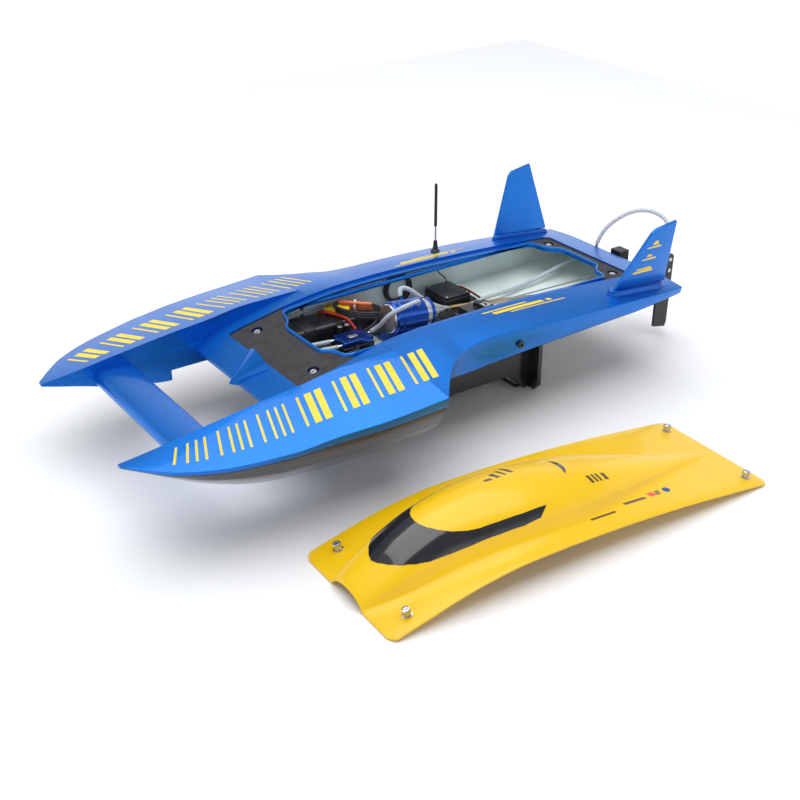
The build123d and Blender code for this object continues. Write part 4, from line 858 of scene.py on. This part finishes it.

# the feet take the darker blue, which is painted shade at the fins' base
FOOT_OUTLINE = [(-262, 112), (-270, 122), (-352, 123), (-361, 116), (-361, 107), (-270, 107)]
feet = []
for side in (1, -1):
    rings = []
    for rise, grow in ((-4.0, 0.0), (0.8, 0.0), (2.6, -0.7), (5.0, -2.6), (6.2, -4.2)):
        ring = []
        middle_x, middle_y = -314.0, 115.5
        for x, y in rounded(FOOT_OUTLINE, 5.0, 3):
            reach = hypot(x - middle_x, y - middle_y)
            share = 1 + grow / max(reach, 8.0)
            px, py = middle_x + (x - middle_x) * share, middle_y + (y - middle_y) * share
            ring.append((px, side * py, deck_height(px, py) + rise))
        rings.append(ring)
    feet.append(loft("foot", rings, ("fin_foot_shade_and_disc_blue",), 60.0))
place(join("fin_foot_blocks", *feet), "hull", "deck_blue", "fin_feet")

# ---------------------------------------------------------------- painted stripes
def stripe(start, end, low, high, lean, side):
    """A leaning bar on a sponson's deck; low and high are shares of the deck's width."""
    def spot(x, share):
        width = sponson[1](max(x, SPONSON_END_X)) - INNER_WALL_Y
        return (x, side * (INNER_WALL_Y + share * width))

    inner, outer = [], []
    for x in spread(start, end, 6.0):
        inner.append(spot(x, low))
        outer.append(spot(x + lean, high))
    return decal("bar", inner + outer[::-1], deck_height, "stripe_yellow")


bars = []
CELL = 45.0
BOLD = ((0, 8), (12, 20), (27, 30))
THIN = ((0, 2.5), (9, 11.5), (18, 20.5), (30, 32.5))
for side in (1, -1):
    for i in range(7):
        bold = i < 4 if side > 0 else i > 2
        low, high = 0.13 + 0.012 * i, 0.63 + 0.012 * i
        for start, end in BOLD if bold else THIN:
            first = 22.0 + i * CELL
            bars.append(stripe(first + start, first + end, low, high, 14, side))
    for start, end, low, high in ((-84, -150, 88, 90), (-96, -172, 92.5, 97), (-178, -184, 92.5, 97),
                                  (-118, -202, 99.5, 101)):
        outline = [(start, low), (end, low), (end - 3, high), (start - 3, high)]
        outline = [(x, side * y) for x, y in outline]
        bars.append(decal("bar", outline, deck_height, "stripe_yellow"))
place(join("hull_stripes", *bars), "hull", "cowl_yellow")


def fin_mark(side, centre, size):
    """A small slanted dash on a fin's outer face."""
    a, u = centre
    w, h = size
    corners = [(a, u), (a + w, u - 0.06 * w), (a + w - 0.4 * h, u + h), (a + 0.5 * h, u + h)]
    rings = [[fin_point(side, p, q, out) for p, q in corners]
             for out in (FIN_THICKNESS - 0.02, FIN_THICKNESS + 0.12)]
    return loft("mark", rings, ("stripe_yellow",))


marks = []
for side in (1, -1):
    for centre, size in (((26, 19), (34, 2.6)), ((30, 23.5), (26, 1.4)), ((35, 37), (24, 1.6)),
                         ((42, 41), (9, 3.2)), ((38, 54), (24, 1.6)), ((46, 58), (10, 5.0))):
        marks.append(fin_mark(side, centre, size))
place(join("fin_marks", *marks), "hull", "cowl_yellow")

# ---------------------------------------------------------------- cowl
COWL_LENGTH, COWL_WIDTH, COWL_SHELL = 498.0, 163.0, 2.0
COWL_PLACE = (-5.8, 306.5)
COWL_YAW = radians(-1.91)
COWL_SPRING = 1.3
COWL_SHIFT = (RECESS_FRONT_X + RECESS_REAR_X) / 2
# along the cowl, canopy half width, height above the shell's top, skirt half width
CANOPY = [
    (249.0, 28.0, 11.6, 32.0),
    (225.0, 36.0, 21.6, 40.0),
    (195.0, 41.5, 33.6, 46.0),
    (150.0, 47.0, 41.6, 59.0),
    (105.0, 52.5, 42.0, 66.5),
    (60.0, 55.5, 41.5, 69.0),
    (20.0, 54.5, 39.0, 64.0),
    (-10.0, 52.0, 35.0, 56.5),
    (-40.0, 48.5, 31.0, 52.0),
    (-96.0, 36.0, 20.6, 39.5),
    (-164.0, 20.0, 8.0, 23.5),
    (-215.0, 8.0, 2.0, 12.0),
    (-235.0, 3.0, 0.3, 7.0),
    (-249.0, 3.0, 0.02, 7.0),
]
canopy = columns(CANOPY)


def cowl_rise(u):
    """Height of the shell's underside above the floor."""
    x = u + COWL_SHIFT
    share = (x - RECESS_REAR_X) / (RECESS_FRONT_X - RECESS_REAR_X)
    chord = deck_line(RECESS_REAR_X) * (1 - share) + deck_line(RECESS_FRONT_X) * share
    return COWL_SPRING * (deck_line(x) - chord)


def cowl_world(u, v, z):
    """From the cowl's own axes to the row frame, in millimetres."""
    return (
        COWL_PLACE[0] + u * cos(COWL_YAW) - v * sin(COWL_YAW),
        COWL_PLACE[1] + u * sin(COWL_YAW) + v * cos(COWL_YAW),
        z,
    )


def canopy_height(u, v):
    """Height of the canopy above the shell's top at (u, v)."""
    half, height, skirt = (column(u) for column in canopy)
    join_at = 0.9 * half
    v = abs(v)

    def arch(y):
        return height * max(0.0, 1 - (y / half) ** 2.2) ** 0.62

    if v <= join_at:
        return arch(v)
    if v >= skirt:
        return 0.0
    # the fillet is a parabola from the canopy's side to the flat shell
    start, control = join_at, half
    a = start - 2 * control + skirt
    b = 2 * (control - start)
    c = start - v
    t = (-b + sqrt(max(0.0, b * b - 4 * a * c))) / (2 * a) if abs(a) > 1e-6 else -c / b
    return arch(join_at) * (1 - t) ** 2


def cowl_top(u, v):
    return cowl_rise(u) + COWL_SHELL + canopy_height(u, v)


CORNER = 9.0
cowl_rows = []
for u in spread(-COWL_LENGTH / 2, COWL_LENGTH / 2, 4.0):
    into = max(0.0, abs(u) - (COWL_LENGTH / 2 - CORNER))
    half_plate = COWL_WIDTH / 2 - CORNER + sqrt(max(0.0, CORNER**2 - into**2))
    half, height, skirt = (column(u) for column in canopy)
    across = [0.9 * half * sin(pi / 2 * k / 10) for k in range(11)]
    across += [0.9 * half + (skirt - 0.9 * half) * (k / 6) ** 1.5 for k in range(1, 7)]
    across += [skirt + (half_plate - skirt) * k / 4 for k in range(1, 5)]
    across = [-v for v in across[:0:-1]] + across
    cowl_rows.append([cowl_world(u, v, cowl_top(u, v)) for v in across])
width = len(cowl_rows[0])
verts = [point for row in cowl_rows for point in row]
faces = []
for i in range(len(cowl_rows) - 1):
    for j in range(width - 1):
        faces.append((i * width + j, i * width + j + 1, (i + 1) * width + j + 1, (i + 1) * width + j))
cowl = new_object("cowl_moulding", verts, faces, ("cowl_yellow",), 30.0)
if cowl.data.polygons[0].normal.z < 0:
    cowl.data.flip_normals()
shell = cowl.modifiers.new("shell", "SOLIDIFY")
shell.thickness = COWL_SHELL * MM
shell.offset = -1.0
bake(cowl)
soften(cowl, 0.5, 2, 60.0)
place(cowl, "cowl", "cowl_yellow", "cowl")

# visor: a dark band round the front and sides of the canopy, as (u, share of half width)
VISOR_LOWER = [(220, 0), (218, 0.2), (212, 0.45), (203, 0.65), (190, 0.78), (177, 0.85),
               (156, 0.885), (135, 0.892), (101, 0.892), (72, 0.89), (51, 0.87)]
VISOR_UPPER = [(39, 0.75), (68, 0.755), (97, 0.755), (119, 0.745), (133, 0.71), (147, 0.63),
               (158, 0.50), (166, 0.32), (169, 0.16), (170, 0)]
port_side = VISOR_LOWER + VISOR_UPPER
visor_outline = [(u, share * canopy[0](u)) for u, share in port_side]
visor_outline += [(u, -share * canopy[0](u)) for u, share in port_side[-2:0:-1]]
visor = decal("cowl_visor", visor_outline, cowl_top, "visor_black", 0.35, 1.6, cowl_world)
place(visor, "cowl", "cowl_yellow")

vent_outline = []
for k in range(9):
    share = -0.3 + 0.6 * k / 8
    vent_outline.append((-7.0 - 8.0 * (1 - (share / 0.3) ** 2), share * 50))
for k in range(1, 8):
    share = 0.3 - 0.6 * k / 8
    vent_outline.append((-7.0 - 2.5 * (1 - (share / 0.3) ** 2), share * 50))
place(decal("cowl_vent", vent_outline, cowl_top, "visor_black", 0.3, 2.0, cowl_world), "cowl",
      "cowl_yellow")


def cowl_dash(u, v, length, depth, mat, lean=0.3):
    """A small slanted dash painted on the cowl."""
    outline = [(u, v), (u - length, v), (u - length - lean * depth, v + depth),
               (u - lean * depth, v + depth)]
    return decal("dash", outline, cowl_top, mat, 0.15, 2.0, cowl_world)


dashes = []
for u, v, length, depth in ((-28, 22, 4, 9), (-35, 21.5, 3, 9), (-41, 21, 3, 9), (-49, 21, 5, 8),
                            (-60, 48, 30, 4), (-8, 55.5, 34, 3),
                            (82, -9, 9, 4), (70, -16, 5, 11), (60, -19, 3, 13), (52, -22, 4, 15)):
    dashes.append(cowl_dash(u, v, length, depth, "mark_dark"))
place(join("cowl_marks", *dashes), "cowl", "cowl_yellow")
red = cowl_dash(-97, 44, 9, 7, "mark_red", 0.1)
place(join("cowl_red_mark", red, cowl_dash(-108, 44, 6, 3, "mark_dark", 0.1),
           cowl_dash(-107, 48, 6, 3, "mark_dark", 0.1)), "cowl", "cowl_yellow")
disc = [(-124 + 4.6 * cos(2 * pi * k / 24), 47 + 4.6 * sin(2 * pi * k / 24)) for k in range(24)]
place(decal("cowl_disc", disc, cowl_top, "fin_foot_shade_and_disc_blue", 0.15, 2.0, cowl_world), "cowl", "cowl_yellow")

# thumb screws
for joint in frame["joints"]:
    if not joint["child"].startswith("screw_"):
        continue
    node = "cowl_screw_" + joint["child"][len("screw_"):]
    seat = Vector(joint["pos_m"]) / MM
    profile = [(1.2, -3.4), (1.9, -2.8), (1.9, 0), (5.4, 0), (5.4, 0.8), (3.6, 1.0), (3.6, 2.2),
               (4.1, 2.6), (4.3, 3.0), (4.3, 7.6), (4.1, 8.0), (3.7, 8.4), (2.4, 8.6), (2.0, 8.1),
               (0.2, 8.0)]

    def knurl(height):
        return 0.28 if 2.9 < height < 7.8 else 0.0

    knob = turned(node + "_knob", profile, seat, joint["axis"], ("steel",), 60, 30.0, knurl)
    place(knob, joint["child"], "steel", node)

# ---------------------------------------------------------------- hoses and wires
HOSE_RADIUS = 2.8
PICKUP_ROUTE = [
    (-432.0, 45.0, 113.3),
    (-434.0, 46.0, 128.0),
    (-443.0, 43.0, 146.0),
    (-447.0, 30.0, 160.0),
    (-439.0, 10.0, 168.0),
    (-425.0, -10.0, 165.0),
    (-409.0, -26.0, 151.0),
    (-394.0, -36.0, 133.0),
    (-388.0, -38.0, 115.3),
]
pickup = cord_curve("pickup_hose_line", PICKUP_ROUTE, HOSE_RADIUS, "silicone_clear")
place(pickup, "hull", "silicone_clear", "pickup_hose")

JACKET_ROUTE = [
    (-46.99, -23.18, 129.03),
    (-48.3, -27.2, 134.6),
    (-54.0, -30.0, 136.4),
    (-64.5, -30.0, 132.0),
    (-76.0, -28.6, 122.0),
    (-89.0, -27.0, 110.5),
    (-103.0, -25.0, 101.0),
    (-118.0, -23.0, 94.4),
    (-135.0, -21.5, 91.2),
    (-156.0, -21.0, 90.6),
    (-186.0, -25.0, 92.6),
    (-222.0, -30.0, 89.0),
    (-262.0, -35.0, 89.4),
    (-302.0, -37.6, 95.0),
    (-338.0, -38.2, 103.0),
    (-371.9, -38.0, 104.0),
]
ESC_HOSE_ROUTE = [
    (-51.96, 7.18, 128.51),
    (-51.3, 10.6, 133.2),
    (-45.0, 13.2, 135.6),
    (-33.0, 12.6, 133.4),
    (-21.0, 9.4, 129.4),
    (-12.0, 3.6, 122.4),
    (-9.0, -3.0, 114.0),
    (-9.0, -11.0, 105.0),
    (-7.2, -18.4, 98.6),
    (-0.3, -19.0, 96.1),
]
OUTLET_ROUTE_PORT = [
    (53.6, -9.0, 93.5),
    (64.0, -10.6, 93.5),
    (76.0, -14.5, 93.0),
    (89.0, -12.0, 91.0),
    (99.5, 0.0, 88.6),
    (105.4, 20.0, 86.8),
    (106.5, 46.0, 87.0),
    (105.5, 70.0, 89.5),
    (104.0, 88.0, 94.5),
    (92.0, 95.4, 101.0),
    (66.0, 95.6, 106.5),
    (30.0, 96.4, 110.2),
    (-10.0, 97.4, 111.4),
    (-50.0, 100.6, 111.6),
    (-80.0, 107.0, 111.4),
    (-98.0, 114.0, 111.2),
    (-104.4, 121.6, 111.0),
    (-105.0, 129.2, 111.0),
]
OUTLET_ROUTE_STARBOARD = [
    (53.6, -27.0, 93.5),
    (64.0, -28.4, 93.5),
    (76.0, -31.8, 93.0),
    (89.0, -36.0, 91.0),
    (99.0, -43.0, 88.6),
    (104.8, -55.0, 87.4),
    (105.6, -70.0, 89.5),
    (104.0, -86.5, 94.5),
    (92.0, -95.0, 101.0),
    (66.0, -95.6, 104.5),
    (34.0, -98.0, 105.6),
    (2.0, -102.6, 105.4),
    (-28.0, -105.6, 106.4),
    (-56.0, -106.6, 108.6),
    (-80.0, -109.0, 110.6),
    (-98.0, -114.4, 111.3),
    (-104.6, -121.6, 111.0),
    (-105.0, -129.2, 111.0),
]
for name, route in (("jacket_hose_line", JACKET_ROUTE), ("controller_hose_line", ESC_HOSE_ROUTE),
                    ("port_outlet_hose", OUTLET_ROUTE_PORT),
                    ("starboard_outlet_hose", OUTLET_ROUTE_STARBOARD)):
    hose = cord_curve(name, route, HOSE_RADIUS, "silicone_clear")
    place(hose, "hull", "silicone_clear", "cooling_hoses")

STRAND = (1.7, 1.2, 4.2)
BUNDLE_AFT, BUNDLE_FRONT = (-22.4, -48.5, 112.0), (7.4, -79.0, 112.0)
MOTOR_LEAD_ROUTE = [
    (-16.8, -19.0, 113.0),
    (-8.0, -20.5, 114.0),
    (3.0, -25.0, 115.0),
    (12.5, -35.0, 115.6),
    (18.5, -49.0, 115.4),
    (20.5, -63.0, 114.0),
    (17.0, -75.0, 112.6),
    BUNDLE_FRONT,
]
ESC_LEAD_ROUTE = [
    (4.8, -28.0, 91.0),
    (-4.0, -28.4, 91.5),
    (-14.0, -30.0, 95.0),
    (-23.0, -33.0, 101.0),
    (-29.5, -37.0, 106.6),
    (-29.6, -42.6, 110.6),
    BUNDLE_AFT,
]
for label, route in (("motor_lead", MOTOR_LEAD_ROUTE), ("controller_lead", ESC_LEAD_ROUTE)):
    for step in (-1, 0, 1):
        shift = tuple(step * gap for gap in STRAND)
        wire = cord_curve(f"{label}_{step + 2}", route, 1.4, "wire_black", shift)
        place(wire, "hull", "wire_black", "power_leads")

POSITIVE_ROUTE = [
    (33.0, -84.0, 103.1),
    (33.0, -83.4, 107.0),
    (28.0, -77.0, 107.4),
    (22.0, -68.5, 106.4),
    (17.0, -60.0, 105.3),
    (12.6, -51.5, 103.8),
    (10.6, -45.0, 99.5),
    (10.5, -39.0, 96.0),
    (10.5, -33.1, 95.0),
]
NEGATIVE_ROUTE = [
    (92.1, 62.0, 96.0),
    (100.0, 62.0, 96.4),
    (106.0, 54.0, 98.5),
    (104.0, 43.0, 100.0),
    (92.0, 33.0, 99.5),
    (74.0, 23.0, 97.0),
    (56.0, 14.0, 94.0),
    (40.0, 9.0, 92.4),
    (32.5, 5.0, 92.0),
    (32.0, -1.9, 92.0),
]
place(cord_curve("battery_lead_red", POSITIVE_ROUTE, 1.9, "wire_red"), "hull", "wire_red",
      "battery_leads")
place(cord_curve("battery_lead_black", NEGATIVE_ROUTE, 1.9, "wire_black"), "hull", "wire_black",
      "battery_leads")

SERVO_LEAD_ROUTE = [
    (-168.2, -72.0, 95.5),
    (-174.0, -71.4, 95.2),
    (-181.0, -64.0, 92.0),
    (-185.0, -50.0, 88.4),
    (-185.5, -34.0, 86.8),
    (-182.0, -18.0, 86.6),
    (-176.0, -4.0, 86.7),
    (-168.5, 7.0, 88.0),
    (-158.2, 12.0, 90.0),
]
for step, mat in ((-1, "wire_black"), (0, "wire_red"), (1, "wire_white")):
    wire = cord_curve(f"servo_wire_{step + 2}", SERVO_LEAD_ROUTE, 0.75, mat, (0, 0, 1.5 * step))
    place(wire, "hull", "wire_black", "servo_lead")

COAX_ROUTE = [
    (-166.0, -112.0, 125.0),
    (-166.0, -111.6, 120.5),
    (-164.0, -107.0, 114.5),
    (-160.0, -99.0, 110.5),
    (-157.5, -90.5, 109.6),
    (-158.0, -83.0, 108.4),
    (-159.8, -79.0, 105.0),
    (-160.2, -78.4, 100.2),
]
place(cord_curve("antenna_wire", COAX_ROUTE, 0.8, "wire_black"), "hull", "wire_black",
      "antenna_coax")

# ---------------------------------------------------------------- equipment
sleeves = []
for step in (-1, 0, 1):
    shift = Vector([step * gap for gap in STRAND])
    start, end = Vector(BUNDLE_AFT) + shift, Vector(BUNDLE_FRONT) + shift
    length = (end - start).length
    profile = [(1.5, 0), (1.9, 1.2), (2.25, 3), (2.35, 9), (2.2, 20), (2.35, 31), (2.2, length - 4),
               (1.8, length - 1), (1.5, length)]
    sleeves.append(turned("sleeve", profile, start, end - start, ("sleeve_orange",), 24))
place(join("connector_sleeves", *sleeves), "hull", "wire_red", "bullet_connectors")

run = (Vector(BUNDLE_FRONT) - Vector(BUNDLE_AFT)).normalized()
middle = (Vector(BUNDLE_FRONT) + Vector(BUNDLE_AFT)) / 2
across = Vector((run.y, -run.x, 0))
tie_points = []
for k in range(28):
    angle = 2 * pi * k / 28
    tie_points.append(middle + across * 3.6 * cos(angle) + Vector((0, 0, 7.0 * sin(angle))))
verts, faces = [], []
for k, point in enumerate(tie_points):
    outward = (point - middle).normalized()
    for along, out in ((-1.3, 0), (1.3, 0), (1.3, 0.9), (-1.3, 0.9)):
        verts.append(tuple(point + run * along + outward * out))
for k in range(28):
    following = (k + 1) % 28
    for j in range(4):
        i = (j + 1) % 4
        faces.append((k * 4 + j, k * 4 + i, following * 4 + i, following * 4 + j))
tie = new_object("zip_tie", verts, faces, ("wire_white",), 50.0)
place(tie, "hull", "wire_red")

plug = prism("plug", [(-15, -7), (15, -7), (15, 7), (-15, 7)], -4, 4, ("plug_yellow",))
ridge = prism("ridge", [(-4, -8), (4, -8), (4, 8), (-4, 8)], -4.8, 4.8, ("plug_yellow",))
combine(plug, ridge, "UNION")
soften(plug, 0.8, 3)
heading = Matrix.Rotation(Vector((1, 0)).angle_signed(Vector((run.x, run.y))) * -1, 4, "Z")
plug.data.transform(Matrix.Translation(Vector((12, -74, 108)) * MM) @ heading)
plug.name = "battery_plug"
place(plug, "hull", "wire_red")

case = box("esc_case", (5, -33, 81.7), (48, -2, 91.0), ("case_black",), 1.2)
sink = box("esc_sink", (6.2, -31.8, 91.1), (46.8, -3.2, 98), ("jacket_blue",), 0.6)
for k in range(7):
    y = -17.5 + (k - 3) * 4.2
    combine(sink, prism("groove", [(8.5, y - 0.7), (44.5, y - 0.7), (44.5, y + 0.7), (8.5, y + 0.7)],
                        95.6, 100, ("jacket_blue",)))
tidy(sink, 30.0)
badge = box("badge", (21, -21, 97.5), (33, -14, 98.2), ("aluminium",), 0.2)
nipples = [turned("nipple", [(1.2, 0), (1.7, 0), (1.7, 4.5), (2.0, 4.6), (1.4, 6), (1.2, 6)],
                  (47.5, y, 93.5), (1, 0, 0), ("aluminium",), 24) for y in (-9, -27)]
nipples.append(turned("nipple", [(1.2, 0), (1.7, 0), (1.7, 4.2), (2.0, 4.3), (1.4, 5.6), (1.2, 5.6)],
                      (5.5, -19, 94), (-5.5, 0, 2), ("aluminium",), 24))
place(join("controller_case", case, sink, badge, *nipples), "hull", "case_black",
      "speed_controller")

cans = []
for x in (18.5, 28.5):
    body = [(3.6, 0), (4.2, 0.6), (4.2, 15.2), (3.9, 15.9), (4.2, 16.6), (4.2, 18.4), (3.9, 18.9),
            (3.4, 18.9)]
    cans.append(turned("can", body, (x, -43.5, 81.7), (0, 0, 1), ("case_black",), 32))
    top = [(3.4, 0), (3.4, 0.3), (3.2, 0.5), (0.6, 0.42), (0.2, 0.3)]
    cans.append(turned("top", top, (x, -43.5, 100.6), (0, 0, 1), ("aluminium",), 32))
place(join("capacitor_cans", *cans), "hull", "case_black", "esc_capacitors")

packs = []
for side in (1, -1):
    low, high = sorted((side * 49.0, side * 90.0))
    packs.append(box("pack", (-36, low, 81.7), (92, high, 103), ("battery_black",), 3.2))
place(join("battery_cases", *packs), "hull", "battery_black", "battery_packs")
straps = []
for side in (1, -1):
    low, high = sorted((side * 48.2, side * 90.8))
    for x in (-8.0, 66.0):
        strap = box("strap", (x - 9, low, 81.8), (x + 9, high, 104.0), ("tray_black",), 2.6)
        inner = box("inner", (x - 12, low + 0.9, 80), (x + 12, high - 0.9, 103.1), ("tray_black",), 0)
        straps.append(combine(strap, inner))
place(join("battery_straps", *straps), "hull", "tray_black")

receiver_low, receiver_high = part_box("receiver")
case = box("case", tuple(receiver_low / MM), tuple(receiver_high / MM - Vector((0, 0, 3.5))),
           ("receiver_grey",), 1.6)
lid = box("lid", (-167.2, -83.2, 96.8), (-128.8, -36.8, 100.0), ("receiver_grey",), 1.0)
screws = [turned("screw", [(1.4, 0), (1.4, 0.5), (1.0, 0.8), (0.3, 0.7)], (x, y, 99.9), (0, 0, 1),
                 ("steel",), 20)
          for x in (-164, -132) for y in (-80, -40)]
place(join("receiver_box", case, lid, *screws), "hull", "receiver_grey", "receiver")

# flotation plug in the starboard bulkhead
plug_profile = [(15.5, 0), (15.5, 6), (17.5, 8), (20, 8), (20.6, 7), (20.6, 0)]
place(turned("flotation_plug", plug_profile, (-93, -98.4, 103), (0, 1, 0), ("fitting_black",), 48),
      "hull", "fitting_black")

# bright lower tube of the antenna
lower = [(1.0, 16.2), (1.25, 16.4), (1.25, 34.6), (1.0, 34.8)]
place(turned("antenna_lower_tube", lower, (-166, -112, 131), (0, 0, 1), ("steel",), 20), "hull",
      "steel")

# ---------------------------------------------------------------- studio
FLOOR_SIZE = 3.0
bpy.ops.mesh.primitive_plane_add(size=FLOOR_SIZE, location=(0, 0, -0.0002))
floor = bpy.context.object
floor.name = "studio_floor"
paper = bpy.data.materials.new("studio_paper")
paper.use_nodes = True
paper.node_tree.nodes["Principled BSDF"].inputs["Base Color"].default_value = (0.93, 0.93, 0.93, 1)
paper.node_tree.nodes["Principled BSDF"].inputs["Roughness"].default_value = 0.6
floor.data.materials.append(paper)

# a bright band round the horizon under a dim ceiling
world = bpy.data.worlds.new("studio")
bpy.context.scene.world = world
world.use_nodes = True
sky = world.node_tree
direction = add_node(sky, "ShaderNodeTexCoord")
parts = add_node(sky, "ShaderNodeSeparateXYZ")
band = add_node(sky, "ShaderNodeValToRGB")
band.color_ramp.elements[0].position = 0.36
band.color_ramp.elements[0].color = (1.06, 1.08, 1.12, 1)
band.color_ramp.elements[1].position = 0.52
band.color_ramp.elements[1].color = (0.25, 0.27, 0.30, 1)
sky.links.new(direction.outputs["Generated"], parts.inputs["Vector"])
sky.links.new(parts.outputs["Z"], band.inputs["Fac"])
sky.links.new(band.outputs["Color"], sky.nodes["Background"].inputs["Color"])
sky.nodes["Background"].inputs["Strength"].default_value = 1.0


def area_light(name, place_at, aim, size, power, color=(1, 1, 1)):
    """A soft rectangular light aimed at a point."""
    data = bpy.data.lights.new(name, "AREA")
    data.shape = "RECTANGLE"
    data.size, data.size_y = size
    data.energy = power
    data.color = color
    lamp = bpy.data.objects.new(name, data)
    bpy.context.scene.collection.objects.link(lamp)
    lamp.location = place_at
    lamp.rotation_euler = (Vector(aim) - Vector(place_at)).to_track_quat("-Z", "Y").to_euler()
    return lamp


area_light("overhead", (-0.1, -0.2, 3.0), (-0.1, -0.2, 0), (4.0, 4.0), 115)

view = bpy.context.scene.view_settings
view.view_transform = "Standard"
view.look = "None"
view.exposure = 0.0

camera_data = bpy.data.cameras.new("camera")
camera_data.lens = 55.05
camera_data.sensor_width = 36.0
camera = bpy.data.objects.new("camera", camera_data)
bpy.context.scene.collection.objects.link(camera)
camera.location = (0.7440, 1.1005, 0.7304)
yaw, pitch = radians(-125.13), radians(28.49)
gaze = Vector((cos(yaw) * cos(pitch), sin(yaw) * cos(pitch), -sin(pitch)))
camera.rotation_euler = gaze.to_track_quat("-Z", "Y").to_euler()
bpy.context.scene.camera = camera
